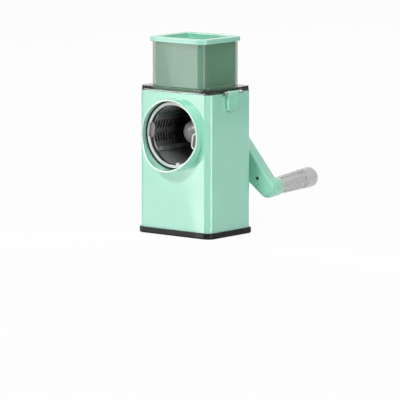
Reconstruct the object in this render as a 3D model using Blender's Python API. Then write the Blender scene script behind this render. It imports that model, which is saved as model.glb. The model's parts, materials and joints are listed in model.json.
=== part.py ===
"""Hand-cranked drum grater: square casing, slotted drum behind a round outlet, hopper with pusher, crank.

+Z is up, the outlet faces -Y, and the origin is the middle of the underside of the rubber foot.
"""

from math import asin, atan2, cos, hypot, pi, radians, sin, sqrt

import bmesh
import bpy
from mathutils import Matrix, Vector

MM = 0.001
GAP = 0.3 * MM
SIDES = 36
HUB_SIDES = 24
ROD_SIDES = 16
POST_SIDES = 12
PIN_SIDES = 10
SCREW_SIDES = 8
CORNER_STEPS = 4

# Casing
BODY_WIDTH = 120 * MM
BODY_TOP = 188.9 * MM
BODY_CORNER = 9 * MM
BODY_WALL = 2.5 * MM
DECK_THICKNESS = 2.5 * MM
CORNER_POST_RADIUS = 4.5 * MM
CORNER_POST_TOP = 24 * MM
CORNER_POST_SUNK = 0.5 * MM

# Rubber foot and floor
FOOT_HEIGHT = 7.9 * MM
FOOT_PROUD = 2.6 * MM
FOOT_FLOOR = 3.6 * MM
FOOT_EDGE = 1.6 * MM
GROOVE_INSET = 15 * MM
GROOVE_WIDTH = 4 * MM
GROOVE_DEPTH = 1.2 * MM
FLOOR_THICKNESS = 2.5 * MM

# Screws
SCREW_RADIUS = 1.5 * MM
SCREW_CLEARANCE = 0.2 * MM
SCREW_EDGE = 0.5 * MM
SCREW_TIP = 1.2 * MM
SCREW_TIP_SHARE = 0.4
BASE_SCREW_LENGTH = 16 * MM
BASE_HEAD_RADIUS = 4 * MM
BASE_HEAD_HEIGHT = 1.9 * MM
BARREL_SCREW_LENGTH = 11 * MM
BARREL_HEAD_RADIUS = 3 * MM
BARREL_HEAD_HEIGHT = 1.2 * MM
BARREL_HEAD_SUNK = 0.1 * MM

# Drum axis, barrel and collar
AXIS_HEIGHT = 133.2 * MM
BARREL_BORE = 45 * MM
BARREL_WALL = 1.8 * MM
COLLAR_REACH = 10.5 * MM
COLLAR_LIP = 10 * MM
COLLAR_LIP_DROP = 14 * MM
COLLAR_EDGE = 0.5 * MM
BARREL_POST_RADIUS = 4 * MM
BARREL_POST_LENGTH = 12.5 * MM
BARREL_POST_SUNK = 1.3 * MM
BARREL_POST_ANGLES = (210, 270, 330)

# Drum
RING_PROUD = 2 * MM
RING_CLEARANCE = 0.7 * MM
RING_BORE = 40.3 * MM
RING_FACE = 3 * MM
RING_SLEEVE = 8.5 * MM
RING_SLEEVE_WALL = 0.9 * MM
RING_BAND = 6.5 * MM
RING_EDGE = 0.6 * MM
TAB_REACH = 8.8 * MM
TAB_WIDTH = 20 * MM
TAB_THICKNESS = 3 * MM
TAB_CHAMFER = 3.5 * MM
TAB_FRAME = 2 * MM
TAB_RECESS = 1.2 * MM
TAB_ANGLE = 173.2
LUG_ANGLE = 281
LUG_WIDTH = 5 * MM
LUG_REACH = 2.6 * MM
BLADE_WALL = 0.8 * MM
BLADE_LENGTH = 77.7 * MM
SLOT_ROWS = 12
SLOT_COLUMNS = 11
SLOT_ROW_PITCH = 23.2
SLOT_SPAN = 16.4
SLOT_LAST_ROW = 192.4
SLOT_WIDTH = 2.7 * MM
SLOT_PITCH = 5.7 * MM
SLOT_START = 9.5 * MM
SEAM_ANGLE = 211.6
SEAM_WIDTH = 6 * MM
SEAM_THICKNESS = 1 * MM
SEAM_START = 8.7 * MM
SEAM_END_GAP = 1 * MM
SEAM_EDGE = 0.4 * MM
RIVET_RADIUS = 1.2 * MM
RIVET_HEAD = 0.6 * MM
RIVET_CROWN = ((0, 1), (0.6, 0.85), (1, 0.4))
RIVETS = 4
HUB_RADIUS = 16.6 * MM
HUB_NOSE = 14 * MM
HUB_NOSE_FLAT = 0.6 * MM
HUB_LENGTH = 36 * MM
HUB_PLUG = 4 * MM
HUB_FLANGE = 1.5 * MM
HUB_END_GAP = 2.4 * MM

# Bearing and shaft
BUSH_RADIUS = 8 * MM
BUSH_FLANGE_RADIUS = 13 * MM
BUSH_FLANGE = 3 * MM
BUSH_PROUD = 0.6 * MM
SHAFT_RADIUS = 5 * MM
SHAFT_RUNNING_GAP = 0.08 * MM
SHAFT_EDGE = 0.5 * MM
SHAFT_NOSE = 28 * MM
NOSE_TAPER = 0.7 * MM
HEX_SIDES = 6
HEX_RADIUS = 4.4 * MM
RETAINER_THICKNESS = 1 * MM
RETAINER_RADIUS = 8 * MM
RETAINER_GROOVE = 0.8 * MM
RETAINER_MOUTH = 50
WASHER_RADIUS = 10 * MM
WASHER_THICKNESS = 0.8 * MM

# Hopper and pusher
FLANGE_THICKNESS = 6.1 * MM
FLANGE_EDGE = 0.6 * MM
FLANGE_LEDGE = 5 * MM
CHUTE_WIDTH = 88.1 * MM
CHUTE_DEPTH = 79 * MM
CHUTE_CORNER = 8.1 * MM
CHUTE_WALL = 2.4 * MM
CHUTE_HEIGHT = 58 * MM
SKIRT_BOTTOM = 150 * MM
WINDOW_DROP = 5 * MM
DECK_CLEARANCE = 0.3 * MM
PUSHER_GAP = 2 * MM
PUSHER_WALL = 2.2 * MM
PUSHER_ARCH_GAP = 4.2 * MM
RIM_HEIGHT = 6.4 * MM
RIM_OVERHANG = 3.25 * MM
RIM_EDGE = 0.9 * MM

# Clips
PIN_RADIUS = 1 * MM
PIN_GAP = 0.07 * MM
PIN_LENGTH = 36 * MM
PIN_OUT = 2.9 * MM
PIN_HEIGHT = 189.6 * MM
CLIP_WIDTH = 21.6 * MM
CLIP_DROP = 24.3 * MM
CLIP_BARREL = 2.5 * MM
CLIP_INNER = 1.6 * MM
CLIP_OUTER = 2.4 * MM
CLIP_CORNER = 6 * MM
CLIP_BORDER = 2.4 * MM
CLIP_RECESS = 1 * MM
CLIP_NECK = 1.2 * MM
CLIP_EDGE = 0.6 * MM
EAR_WIDTH = 7.2 * MM
EAR_GAP = 0.4 * MM
EAR_ROOT = 2 * MM
EAR_LEDGE = 0.4 * MM
EAR_ROUND = (200, 416)
EAR_STEPS = 6
KEEPER_REACH = 2.3 * MM
KEEPER_WIDTH = 12 * MM
KEEPER_DROP = 15.6 * MM
KEEPER_HEIGHT = 3.2 * MM
KEEPER_SLOPE = 1.6 * MM

# Crank, in the frame of the arm: +X along the arm, +Y away from the casing
CRANK_RADIUS = 106.5 * MM
CRANK_ANGLE = -45.3
CRANK_LEAN = 4.5
ARM_CLEARANCE = 3.6 * MM
ARM_DEPTH = 17 * MM
ARM_HUB_RADIUS = 24 * MM
ARM_END_RADIUS = 11.5 * MM
ARM_END_DROP = 1 * MM
ARM_WALL = 2.4 * MM
ARM_EDGE = 2 * MM
COVER_THICKNESS = 2.2 * MM
COVER_INSET = 2.2 * MM
COVER_LEDGE = 1.8 * MM
COVER_EDGE = 0.3 * MM
COVER_SCREW_PLACES = (19.4 * MM, 66 * MM)
COVER_HOLE_RADIUS = 2.75 * MM
COVER_HEAD_RADIUS = 2.4 * MM
COVER_HEAD_HEIGHT = 1 * MM
COVER_SCREW_LENGTH = 7 * MM
COVER_POST_RADIUS = 5 * MM
ARM_SOCKET_RADIUS = 14 * MM
SOCKET_DEPTH = 10 * MM
SQUARE_HALF = 4 * MM
SQUARE_CLEARANCE = 0.15 * MM
SOCKET_WEB = 2 * MM
SOCKET_POST_SUNK = 2 * MM
CRANK_SCREW_RADIUS = 2 * MM
CRANK_SCREW_HEAD = 4 * MM
CRANK_SCREW_HEAD_HEIGHT = 2.1 * MM
CRANK_SCREW_LENGTH = 10 * MM
CAP_RADIUS = 9 * MM
CAP_THICKNESS = 3.4 * MM
CAP_EDGE = 0.8 * MM
BOSS_RADIUS = 12.4 * MM
BOSS_LENGTH = 22.9 * MM
BOSS_START = 3 * MM
BOSS_EDGE = 0.8 * MM

# Grip
GRIP_START_GAP = 0.5 * MM
GRIP_LENGTH = 56.5 * MM
GRIP_START_RADIUS = 11.5 * MM
GRIP_END_RADIUS = 12.95 * MM
GRIP_CAP_RADIUS = 13.4 * MM
GRIP_CAP_LENGTH = 23.8 * MM
GRIP_CAP_EDGE = 0.5 * MM
GRIP_DOME = 5.5 * MM
GRIP_DOME_FLAT = 4 * MM
FLUTES = 8
FLUTE_PHASE = 35
FLUTE_DEPTH = 0.9 * MM
FLUTE_PROFILE = (1, 0.78, 0, 0, 0.78)
FLUTE_RUNOUT = 1.6 * MM
GRIP_EDGE = 0.8 * MM
GRIP_PIN_RADIUS = 3 * MM
GRIP_PIN_GAP = 0.08 * MM
GRIP_PIN_HEAD = 5.5 * MM
GRIP_PIN_HEAD_HEIGHT = 3 * MM
GRIP_PIN_TAIL = 14 * MM
GRIP_PIN_EDGE = 0.6 * MM

# Places that follow from the sizes above
DRUM_LENGTH = RING_FACE + GAP + BLADE_LENGTH + GAP + HUB_FLANGE
DRUM_ROOM = DRUM_LENGTH - RING_PROUD + HUB_END_GAP + BUSH_FLANGE + GAP + BODY_WALL
CHUTE_ROOM = CHUTE_DEPTH + 2 * FLANGE_LEDGE
BODY_DEPTH = max(DRUM_ROOM, CHUTE_ROOM)
FRONT = -BODY_DEPTH / 2
REAR = BODY_DEPTH / 2
REAR_INSIDE = REAR - BODY_WALL
INNER_WIDTH = BODY_WIDTH - 2 * BODY_WALL
INNER_DEPTH = BODY_DEPTH - 2 * BODY_WALL
FLOOR_BOTTOM = FOOT_FLOOR + GAP
FLOOR_TOP = FLOOR_BOTTOM + FLOOR_THICKNESS
FLANGE_BOTTOM = BODY_TOP + GAP
FLANGE_TOP = FLANGE_BOTTOM + FLANGE_THICKNESS
CHUTE_TOP = FLANGE_TOP + CHUTE_HEIGHT
RIM_BOTTOM = CHUTE_TOP + GAP
RIM_TOP = RIM_BOTTOM + RIM_HEIGHT
BARREL_OUTER = BARREL_BORE + BARREL_WALL
BARREL_REAR = REAR_INSIDE - GAP
BARREL_POST_CIRCLE = BARREL_OUTER + BARREL_POST_RADIUS - BARREL_POST_SUNK
RING_RADIUS = BARREL_BORE - RING_CLEARANCE
RING_FRONT = FRONT - RING_PROUD
BLADE_FRONT = RING_FRONT + RING_FACE + GAP
BLADE_CHORD = cos(radians(SLOT_SPAN / 2))
BLADE_FIT = RING_BORE + RING_SLEEVE_WALL
BLADE_INNER = (BLADE_FIT + GAP) / BLADE_CHORD
BLADE_OUTER = BLADE_INNER + BLADE_WALL
BLADE_REAR = BLADE_FRONT + BLADE_LENGTH
SEAM_LENGTH = BLADE_LENGTH - SEAM_START - HUB_PLUG - SEAM_END_GAP
BUSH_FRONT = REAR_INSIDE - GAP - BUSH_FLANGE
BUSH_REAR = REAR + BUSH_PROUD
HUB_FLANGE_FRONT = BLADE_REAR + GAP
HUB_REAR = HUB_FLANGE_FRONT + HUB_FLANGE
CORNER_POST_X = INNER_WIDTH / 2 - CORNER_POST_RADIUS + CORNER_POST_SUNK
CORNER_POST_Y = INNER_DEPTH / 2 - CORNER_POST_RADIUS + CORNER_POST_SUNK
CORNER_SCREWS = [(x * CORNER_POST_X, y * CORNER_POST_Y) for x in (-1, 1) for y in (-1, 1)]
PUSHER_WIDTH = CHUTE_WIDTH - 2 * (CHUTE_WALL + PUSHER_GAP)
PUSHER_DEPTH = CHUTE_DEPTH - 2 * (CHUTE_WALL + PUSHER_GAP)
PIN_X = BODY_WIDTH / 2 + PIN_OUT
ARM_FACE = REAR + ARM_CLEARANCE
WASHER_FRONT = BUSH_REAR + GAP
SOCKET_FACE = WASHER_FRONT + WASHER_THICKNESS + GAP
SOCKET_END = SOCKET_FACE + SOCKET_DEPTH
WEB_END = SOCKET_END + SOCKET_WEB
GRIP_START = BOSS_LENGTH + GRIP_START_GAP
GRIP_CAP_START = GRIP_START + GRIP_LENGTH + GAP


def clear_scene():
    for item in list(bpy.data.objects):
        bpy.data.objects.remove(item, do_unlink=True)


def material(name, colour, roughness, metallic=0.0, alpha=1.0):
    made = bpy.data.materials.new(name)
    made.use_nodes = True
    made.diffuse_color = (*colour, alpha)
    shader = made.node_tree.nodes["Principled BSDF"]
    shader.inputs["Base Color"].default_value = (*colour, 1)
    shader.inputs["Roughness"].default_value = roughness
    shader.inputs["Metallic"].default_value = metallic
    shader.inputs["Alpha"].default_value = alpha
    return made


def empty(name, place, parent=None):
    axis = bpy.data.objects.new(name, None)
    axis.location = place
    axis.parent = parent
    bpy.context.collection.objects.link(axis)
    return axis


def object_of(name, mesh_builder, finish=None, parent=None):
    """An object of what mesh_builder, a bmesh, holds. Its faces are turned outwards."""
    bmesh.ops.recalc_face_normals(mesh_builder, faces=mesh_builder.faces)
    mesh = bpy.data.meshes.new(name)
    mesh_builder.to_mesh(mesh)
    mesh_builder.free()
    mesh.shade_smooth()
    mesh.set_sharp_from_angle(angle=radians(35))
    made = bpy.data.objects.new(name, mesh)
    if finish:
        mesh.materials.append(finish)
    made.parent = parent
    bpy.context.collection.objects.link(made)
    return made


def helper(made):
    made.hide_render = True
    made.display_type = "WIRE"
    return made


def boolean(target, tool, operation="DIFFERENCE"):
    helper(tool)
    modifier = target.modifiers.new(tool.name, "BOOLEAN")
    modifier.operation = operation
    modifier.object = tool
    return target


def loft(rings, closed=False):
    """A solid through rings of points: capped at both ends, or closed on itself as a tube's section is."""
    made = bmesh.new()
    loops = [[made.verts.new(point) for point in ring] for ring in rings]
    pairs = list(zip(loops, loops[1:]))
    if closed:
        pairs.append((loops[-1], loops[0]))
    else:
        made.faces.new(loops[0])
        made.faces.new(loops[-1])
    for low, high in pairs:
        for i in range(len(low)):
            j = (i + 1) % len(low)
            made.faces.new((low[i], low[j], high[j], high[i]))
    return made


def rounded_rectangle(width, depth, corner, z):
    points = []
    for quarter, (sign_x, sign_y) in enumerate(((1, 1), (-1, 1), (-1, -1), (1, -1))):
        for step in range(CORNER_STEPS + 1):
            angle = pi / 2 * (quarter + step / CORNER_STEPS)
            x = sign_x * (width / 2 - corner) + corner * cos(angle)
            y = sign_y * (depth / 2 - corner) + corner * sin(angle)
            points.append((x, y, z))
    return points


def slab(width, depth, corner, bottom, top, edge_bottom=0.0, edge_top=0.0):
    """Rings of an upright rounded box, whose bottom and top edges may be rounded."""
    rings = []
    for edge, level, up in ((edge_bottom, bottom, 1), (edge_top, top, -1)):
        steps = (0, 45, 90) if edge else (90,)
        side = []
        for turn in steps:
            inset = edge * (1 - sin(radians(turn)))
            height = level + up * edge * (1 - cos(radians(turn)))
            side.append(rounded_rectangle(width - 2 * inset, depth - 2 * inset, corner - inset, height))
        rings += side if up > 0 else side[::-1]
    return rings


def box_tube(width, depth, corner, wall, bottom, top):
    inside = (width - 2 * wall, depth - 2 * wall, corner - wall)
    rings = [rounded_rectangle(width, depth, corner, z) for z in (bottom, top)]
    rings += [rounded_rectangle(*inside, z) for z in (top, bottom)]
    return loft(rings, closed=True)


def circle(radius, y, sides=SIDES, centre=(0.0, 0.0)):
    """Points of a circle about the Y direction, from +X towards +Z."""
    turns = [2 * pi * i / sides for i in range(sides)]
    return [(centre[0] + radius * cos(turn), y, centre[1] + radius * sin(turn)) for turn in turns]


def turned(profile, sides=SIDES, centre=(0.0, 0.0), closed=False):
    """A body turned about the Y direction from (radius, y) points."""
    return loft([circle(r, y, sides, centre) for r, y in profile], closed)


def rod_y(radius, start, end, sides, centre=(0.0, 0.0)):
    """A plain cylinder along the Y direction."""
    return turned([(radius, start), (radius, end)], sides, centre)


def upright_rod(radius, bottom, top, centre, sides=POST_SIDES):
    rings = []
    for z in (bottom, top):
        rings.append([(centre[0] + x, centre[1] + y, z) for x, _, y in circle(radius, 0, sides)])
    return loft(rings)


def block(low, high):
    corners = ((low[0], low[1]), (high[0], low[1]), (high[0], high[1]), (low[0], high[1]))
    return loft([[(x, y, z) for x, y in corners] for z in (low[2], high[2])])


def extrude_y(outline, start, end):
    return loft([[(x, y, z) for x, z in outline] for y in (start, end)])


def merge(parts):
    """One bmesh of several, whose solids stay separate."""
    whole = bmesh.new()
    for part in parts:
        mesh = bpy.data.meshes.new("part")
        bmesh.ops.recalc_face_normals(part, faces=part.faces)
        part.to_mesh(mesh)
        part.free()
        whole.from_mesh(mesh)
        bpy.data.meshes.remove(mesh)
    return whole


def turned_screw(head_radius, head_height, shank_radius, shank_length):
    """(radius, distance) points of a screw from its head's face at 0 to its tip."""
    end = head_height + shank_length
    return [
        (head_radius - SCREW_EDGE, 0),
        (head_radius, SCREW_EDGE),
        (head_radius, head_height),
        (shank_radius, head_height),
        (shank_radius, end - SCREW_TIP),
        (shank_radius * SCREW_TIP_SHARE, end),
    ]


def housing_shell(finish):
    body = object_of(
        "housing_shell",
        box_tube(BODY_WIDTH, BODY_DEPTH, BODY_CORNER, BODY_WALL, FLOOR_BOTTOM, BODY_TOP),
        finish,
    )
    deck = slab(
        BODY_WIDTH - BODY_WALL,
        BODY_DEPTH - BODY_WALL,
        BODY_CORNER - BODY_WALL / 2,
        BODY_TOP - DECK_THICKNESS,
        BODY_TOP,
    )
    boolean(body, object_of("deck", loft(deck)), "UNION")
    posts = [upright_rod(CORNER_POST_RADIUS, FLOOR_TOP + GAP, CORNER_POST_TOP, xy) for xy in CORNER_SCREWS]
    boolean(body, object_of("corner_posts", merge(posts)), "UNION")
    boolean(body, object_of("keepers", merge([keeper(1), keeper(-1)])), "UNION")
    opening = slab(
        CHUTE_WIDTH + 2 * DECK_CLEARANCE,
        CHUTE_DEPTH + 2 * DECK_CLEARANCE,
        CHUTE_CORNER + DECK_CLEARANCE,
        BODY_TOP - 2 * DECK_THICKNESS,
        BODY_TOP + DECK_THICKNESS,
    )
    boolean(body, object_of("deck_opening", loft(opening)))
    axis = (0, AXIS_HEIGHT)
    outlet = rod_y(BARREL_OUTER + GAP, FRONT - BODY_WALL, FRONT + 2 * BODY_WALL, SIDES, axis)
    boolean(body, object_of("outlet_hole", outlet))
    bearing = rod_y(BUSH_RADIUS + GAP, REAR_INSIDE - BODY_WALL, REAR + BODY_WALL, HUB_SIDES, axis)
    boolean(body, object_of("bearing_hole", bearing))
    shank = SCREW_RADIUS + SCREW_CLEARANCE
    holes = []
    for place in CORNER_SCREWS:
        holes.append(upright_rod(shank, FLOOR_BOTTOM, CORNER_POST_TOP - 2 * GAP, place, SCREW_SIDES))
    head = BARREL_HEAD_RADIUS + GAP
    seat = REAR - BARREL_HEAD_HEIGHT - GAP
    for centre in barrel_post_places():
        profile = [(shank, REAR_INSIDE - BODY_WALL), (shank, seat), (head, seat), (head, REAR + BODY_WALL)]
        holes.append(turned(profile, SCREW_SIDES, centre))
    boolean(body, object_of("screw_holes", merge(holes)))
    return body


def keeper(side):
    """Wedge on the casing's side that a clip hooks under."""
    top = PIN_HEIGHT - KEEPER_DROP
    wall = BODY_WIDTH / 2
    outline = [
        (wall - BODY_WALL / 2, top + KEEPER_SLOPE),
        (wall, top + KEEPER_SLOPE),
        (wall + KEEPER_REACH, top),
        (wall + KEEPER_REACH, top - KEEPER_HEIGHT),
        (wall - BODY_WALL / 2, top - KEEPER_HEIGHT),
    ]
    return extrude_y([(side * x, z) for x, z in outline], -KEEPER_WIDTH / 2, KEEPER_WIDTH / 2)


def barrel_post_places():
    places = []
    for angle in BARREL_POST_ANGLES:
        x = BARREL_POST_CIRCLE * cos(radians(angle))
        z = AXIS_HEIGHT + BARREL_POST_CIRCLE * sin(radians(angle))
        places.append((x, z))
    return places


def collar_front(angle):
    """Where the collar's rim lies: level down to below the axis, then further out to its lowest point."""
    level = COLLAR_LIP_DROP / BARREL_OUTER
    return FRONT - COLLAR_REACH - COLLAR_LIP * max(0.0, -sin(angle) - level) / (1 - level)


def drum_barrel(finish):
    rings = []
    outer = BARREL_OUTER
    inner = BARREL_BORE
    profile = [
        (outer, None),
        (outer, COLLAR_EDGE),
        (outer - COLLAR_EDGE, 0.0),
        (inner + COLLAR_EDGE, 0.0),
        (inner, COLLAR_EDGE),
        (inner, None),
    ]
    for radius, behind_rim in profile:
        ring = []
        for x, _, z in circle(radius, 0):
            y = BARREL_REAR if behind_rim is None else collar_front(atan2(z, x)) + behind_rim
            ring.append((x, y, z + AXIS_HEIGHT))
        rings.append(ring)
    barrel = object_of("drum_barrel", loft(rings, closed=True), finish)
    front = BARREL_REAR - BARREL_POST_LENGTH
    hole = SCREW_RADIUS + SCREW_CLEARANCE
    posts = []
    holes = []
    for centre in barrel_post_places():
        posts.append(rod_y(BARREL_POST_RADIUS, front, BARREL_REAR - GAP, POST_SIDES, centre))
        holes.append(rod_y(hole, front - GAP, BARREL_REAR + GAP, SCREW_SIDES, centre))
    boolean(barrel, object_of("barrel_posts", merge(posts)), "UNION")
    boolean(barrel, object_of("barrel_post_holes", merge(holes)))
    window = slab(
        CHUTE_WIDTH - 2 * CHUTE_WALL - 2 * GAP,
        CHUTE_DEPTH - 2 * CHUTE_WALL - 2 * GAP,
        CHUTE_CORNER - CHUTE_WALL,
        SKIRT_BOTTOM - WINDOW_DROP,
        BODY_TOP,
    )
    boolean(barrel, object_of("feed_window", loft(window)))
    return barrel


def barrel_screws(finish):
    seat = REAR - BARREL_HEAD_SUNK
    profile = turned_screw(BARREL_HEAD_RADIUS, BARREL_HEAD_HEIGHT, SCREW_RADIUS, BARREL_SCREW_LENGTH)
    for number, centre in enumerate(barrel_post_places(), 1):
        screw = turned([(r, seat - d) for r, d in profile], SCREW_SIDES, centre)
        object_of(f"barrel_screw_{number}", screw, finish)


def rear_bush(finish):
    bore = SHAFT_RADIUS + SHAFT_RUNNING_GAP
    profile = [
        (bore, BUSH_FRONT),
        (BUSH_FLANGE_RADIUS, BUSH_FRONT),
        (BUSH_FLANGE_RADIUS, BUSH_FRONT + BUSH_FLANGE),
        (BUSH_RADIUS, BUSH_FRONT + BUSH_FLANGE),
        (BUSH_RADIUS, BUSH_REAR),
        (bore, BUSH_REAR),
    ]
    return object_of("rear_bush", turned(profile, HUB_SIDES, (0, AXIS_HEIGHT), closed=True), finish)


def base_plate(finish):
    rings = slab(
        INNER_WIDTH - 2 * GAP, INNER_DEPTH - 2 * GAP, BODY_CORNER - BODY_WALL - GAP, FLOOR_BOTTOM, FLOOR_TOP
    )
    plate = object_of("base_plate", loft(rings), finish)
    holes = []
    for place in CORNER_SCREWS:
        holes.append(upright_rod(SCREW_RADIUS + SCREW_CLEARANCE, 0, 2 * FLOOR_TOP, place, SCREW_SIDES))
    return boolean(plate, object_of("base_plate_holes", merge(holes)))


def suction_foot(finish):
    width = BODY_WIDTH + 2 * FOOT_PROUD
    depth = BODY_DEPTH + 2 * FOOT_PROUD
    corner = BODY_CORNER + FOOT_PROUD
    foot = object_of(
        "suction_foot", loft(slab(width, depth, corner, 0, FOOT_HEIGHT, FOOT_EDGE, FOOT_EDGE / 2)), finish
    )
    pocket = slab(
        BODY_WIDTH + 2 * GAP, BODY_DEPTH + 2 * GAP, BODY_CORNER + GAP, FOOT_FLOOR, FOOT_HEIGHT + FOOT_FLOOR
    )
    boolean(foot, object_of("foot_pocket", loft(pocket)))
    groove = box_tube(
        width - 2 * GROOVE_INSET,
        depth - 2 * GROOVE_INSET,
        corner,
        GROOVE_WIDTH,
        -GROOVE_DEPTH,
        GROOVE_DEPTH,
    )
    boolean(foot, object_of("foot_groove", groove))
    holes = []
    for place in CORNER_SCREWS:
        seat = BASE_HEAD_HEIGHT + 2 * GAP
        wide = upright_rod(BASE_HEAD_RADIUS + GAP, -FOOT_FLOOR, seat, place)
        narrow = upright_rod(SCREW_RADIUS + SCREW_CLEARANCE, seat / 2, 2 * FOOT_FLOOR, place, SCREW_SIDES)
        holes += [wide, narrow]
    for number, hole in enumerate(holes):
        boolean(foot, object_of(f"foot_hole_{number}", hole))
    return foot


def base_screws(finish):
    profile = turned_screw(BASE_HEAD_RADIUS, BASE_HEAD_HEIGHT, SCREW_RADIUS, BASE_SCREW_LENGTH)
    for number, (x, y) in enumerate(CORNER_SCREWS, 1):
        rings = []
        for radius, distance in profile:
            rings.append([(x + px, y + py, GAP + distance) for px, _, py in circle(radius, 0, SCREW_SIDES)])
        object_of(f"base_screw_{number}", loft(rings), finish)


def ear(side, end):
    """Knuckle on the flange's edge, round about the pin, on one side of a clip."""
    root = BODY_WIDTH / 2 - EAR_ROOT
    points = [(root, FLANGE_BOTTOM + GAP), (BODY_WIDTH / 2 + EAR_LEDGE, FLANGE_BOTTOM + GAP)]
    first, last = EAR_ROUND
    for step in range(EAR_STEPS + 1):
        angle = radians(first + (last - first) * step / EAR_STEPS)
        points.append((PIN_X + CLIP_BARREL * cos(angle), PIN_HEIGHT + CLIP_BARREL * sin(angle)))
    points.append((root, PIN_HEIGHT + CLIP_BARREL + GAP))
    near = CLIP_WIDTH / 2 + EAR_GAP
    far = near + EAR_WIDTH
    return extrude_y([(side * x, z) for x, z in points], end * near, end * far)


def hopper(finish):
    body = object_of(
        "hopper",
        box_tube(CHUTE_WIDTH, CHUTE_DEPTH, CHUTE_CORNER, CHUTE_WALL, SKIRT_BOTTOM, CHUTE_TOP),
        finish,
    )
    outside = (BODY_WIDTH, BODY_DEPTH, BODY_CORNER)
    edge = (BODY_WIDTH - 2 * FLANGE_EDGE, BODY_DEPTH - 2 * FLANGE_EDGE, BODY_CORNER - FLANGE_EDGE)
    hole = (CHUTE_WIDTH - CHUTE_WALL, CHUTE_DEPTH - CHUTE_WALL, CHUTE_CORNER - CHUTE_WALL / 2)
    plate = [rounded_rectangle(*outside, z) for z in (FLANGE_BOTTOM, FLANGE_TOP - FLANGE_EDGE)]
    plate.append(rounded_rectangle(*edge, FLANGE_TOP))
    plate += [rounded_rectangle(*hole, z) for z in (FLANGE_TOP, FLANGE_BOTTOM)]
    boolean(body, object_of("flange", loft(plate, closed=True)), "UNION")
    ears = [ear(side, end) for side in (1, -1) for end in (1, -1)]
    boolean(body, object_of("ears", merge(ears)), "UNION")
    arch = rod_y(BARREL_OUTER + GAP, -BODY_DEPTH, BODY_DEPTH, SIDES, (0, AXIS_HEIGHT))
    boolean(body, object_of("skirt_arch", arch))
    bores = []
    for side in (1, -1):
        place = (side * PIN_X, PIN_HEIGHT)
        bores.append(rod_y(PIN_RADIUS + PIN_GAP, -PIN_LENGTH, PIN_LENGTH, PIN_SIDES, place))
    boolean(body, object_of("pin_bores", merge(bores)))
    return body


def clip_pin(name, side, finish):
    pin = rod_y(PIN_RADIUS, -PIN_LENGTH / 2, PIN_LENGTH / 2, PIN_SIDES, (side * PIN_X, PIN_HEIGHT))
    return object_of(name, pin, finish)


def clip(name, side, finish):
    """Flap clip about its pin, modelled hanging down from its own axis."""
    axis = empty(f"{name}_axis", (side * PIN_X, 0, PIN_HEIGHT))
    half = CLIP_WIDTH / 2

    def panel_outline(inset, x):
        corner = CLIP_CORNER - inset
        centre_z = CLIP_CORNER - CLIP_DROP
        points = [(-half + inset, 0), (half - inset, 0)]
        for centre_y, start in ((half - CLIP_CORNER, 0), (CLIP_CORNER - half, -pi / 2)):
            for step in range(CORNER_STEPS + 1):
                angle = start - pi / 2 * step / CORNER_STEPS
                points.append((centre_y + corner * cos(angle), centre_z + corner * sin(angle)))
        return [(side * x, y, z) for y, z in points]

    rings = [panel_outline(0, -CLIP_INNER), panel_outline(0, CLIP_OUTER - CLIP_EDGE)]
    rings.append(panel_outline(CLIP_EDGE, CLIP_OUTER))
    made = object_of(name, loft(rings), finish, axis)
    barrel = rod_y(CLIP_BARREL, -half, half, ROD_SIDES)
    boolean(made, object_of(f"{name}_barrel", barrel, parent=axis), "UNION")
    recess_top = -CLIP_BARREL - CLIP_NECK
    recess = [
        [(x, y, min(z, recess_top)) for x, y, z in panel_outline(CLIP_BORDER, depth)]
        for depth in (CLIP_OUTER - CLIP_RECESS, CLIP_OUTER + CLIP_RECESS)
    ]
    boolean(made, object_of(f"{name}_recess", loft(recess), parent=axis))
    catch_top = -KEEPER_DROP + KEEPER_REACH
    catch_bottom = -KEEPER_DROP - KEEPER_HEIGHT - GAP
    depth = KEEPER_REACH + GAP - PIN_OUT
    low = (min(-side * 2 * CLIP_INNER, side * depth), -KEEPER_WIDTH / 2 - GAP, catch_bottom)
    high = (max(-side * 2 * CLIP_INNER, side * depth), KEEPER_WIDTH / 2 + GAP, catch_top)
    boolean(made, object_of(f"{name}_catch", block(low, high), parent=axis))
    bore = rod_y(PIN_RADIUS + PIN_GAP, -CLIP_WIDTH, CLIP_WIDTH, PIN_SIDES)
    return boolean(made, object_of(f"{name}_bore", bore, parent=axis))


def pusher(finish):
    corner = CHUTE_CORNER - CHUTE_WALL - PUSHER_GAP
    box = slab(PUSHER_WIDTH, PUSHER_DEPTH, corner, SKIRT_BOTTOM, RIM_BOTTOM + RIM_HEIGHT / 2)
    body = object_of("pusher", loft(box), finish)
    rim = slab(
        CHUTE_WIDTH + 2 * RIM_OVERHANG,
        CHUTE_DEPTH + 2 * RIM_OVERHANG,
        CHUTE_CORNER + RIM_OVERHANG,
        RIM_BOTTOM,
        RIM_TOP,
        RIM_EDGE,
        RIM_EDGE,
    )
    boolean(body, object_of("rim", loft(rim)), "UNION")
    arch = BLADE_OUTER + PUSHER_ARCH_GAP
    axis = (0, AXIS_HEIGHT)
    hollow = rod_y(arch, -BODY_DEPTH, BODY_DEPTH, SIDES, axis)
    boolean(body, object_of("pusher_arch", hollow))
    well = slab(
        PUSHER_WIDTH - 2 * PUSHER_WALL,
        PUSHER_DEPTH - 2 * PUSHER_WALL,
        corner,
        SKIRT_BOTTOM,
        RIM_TOP + RIM_HEIGHT,
    )
    cavity = object_of("well", loft(well))
    floor = rod_y(arch + PUSHER_WALL, -BODY_DEPTH, BODY_DEPTH, SIDES, axis)
    boolean(cavity, object_of("well_floor", floor))
    return boolean(body, cavity)


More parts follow.
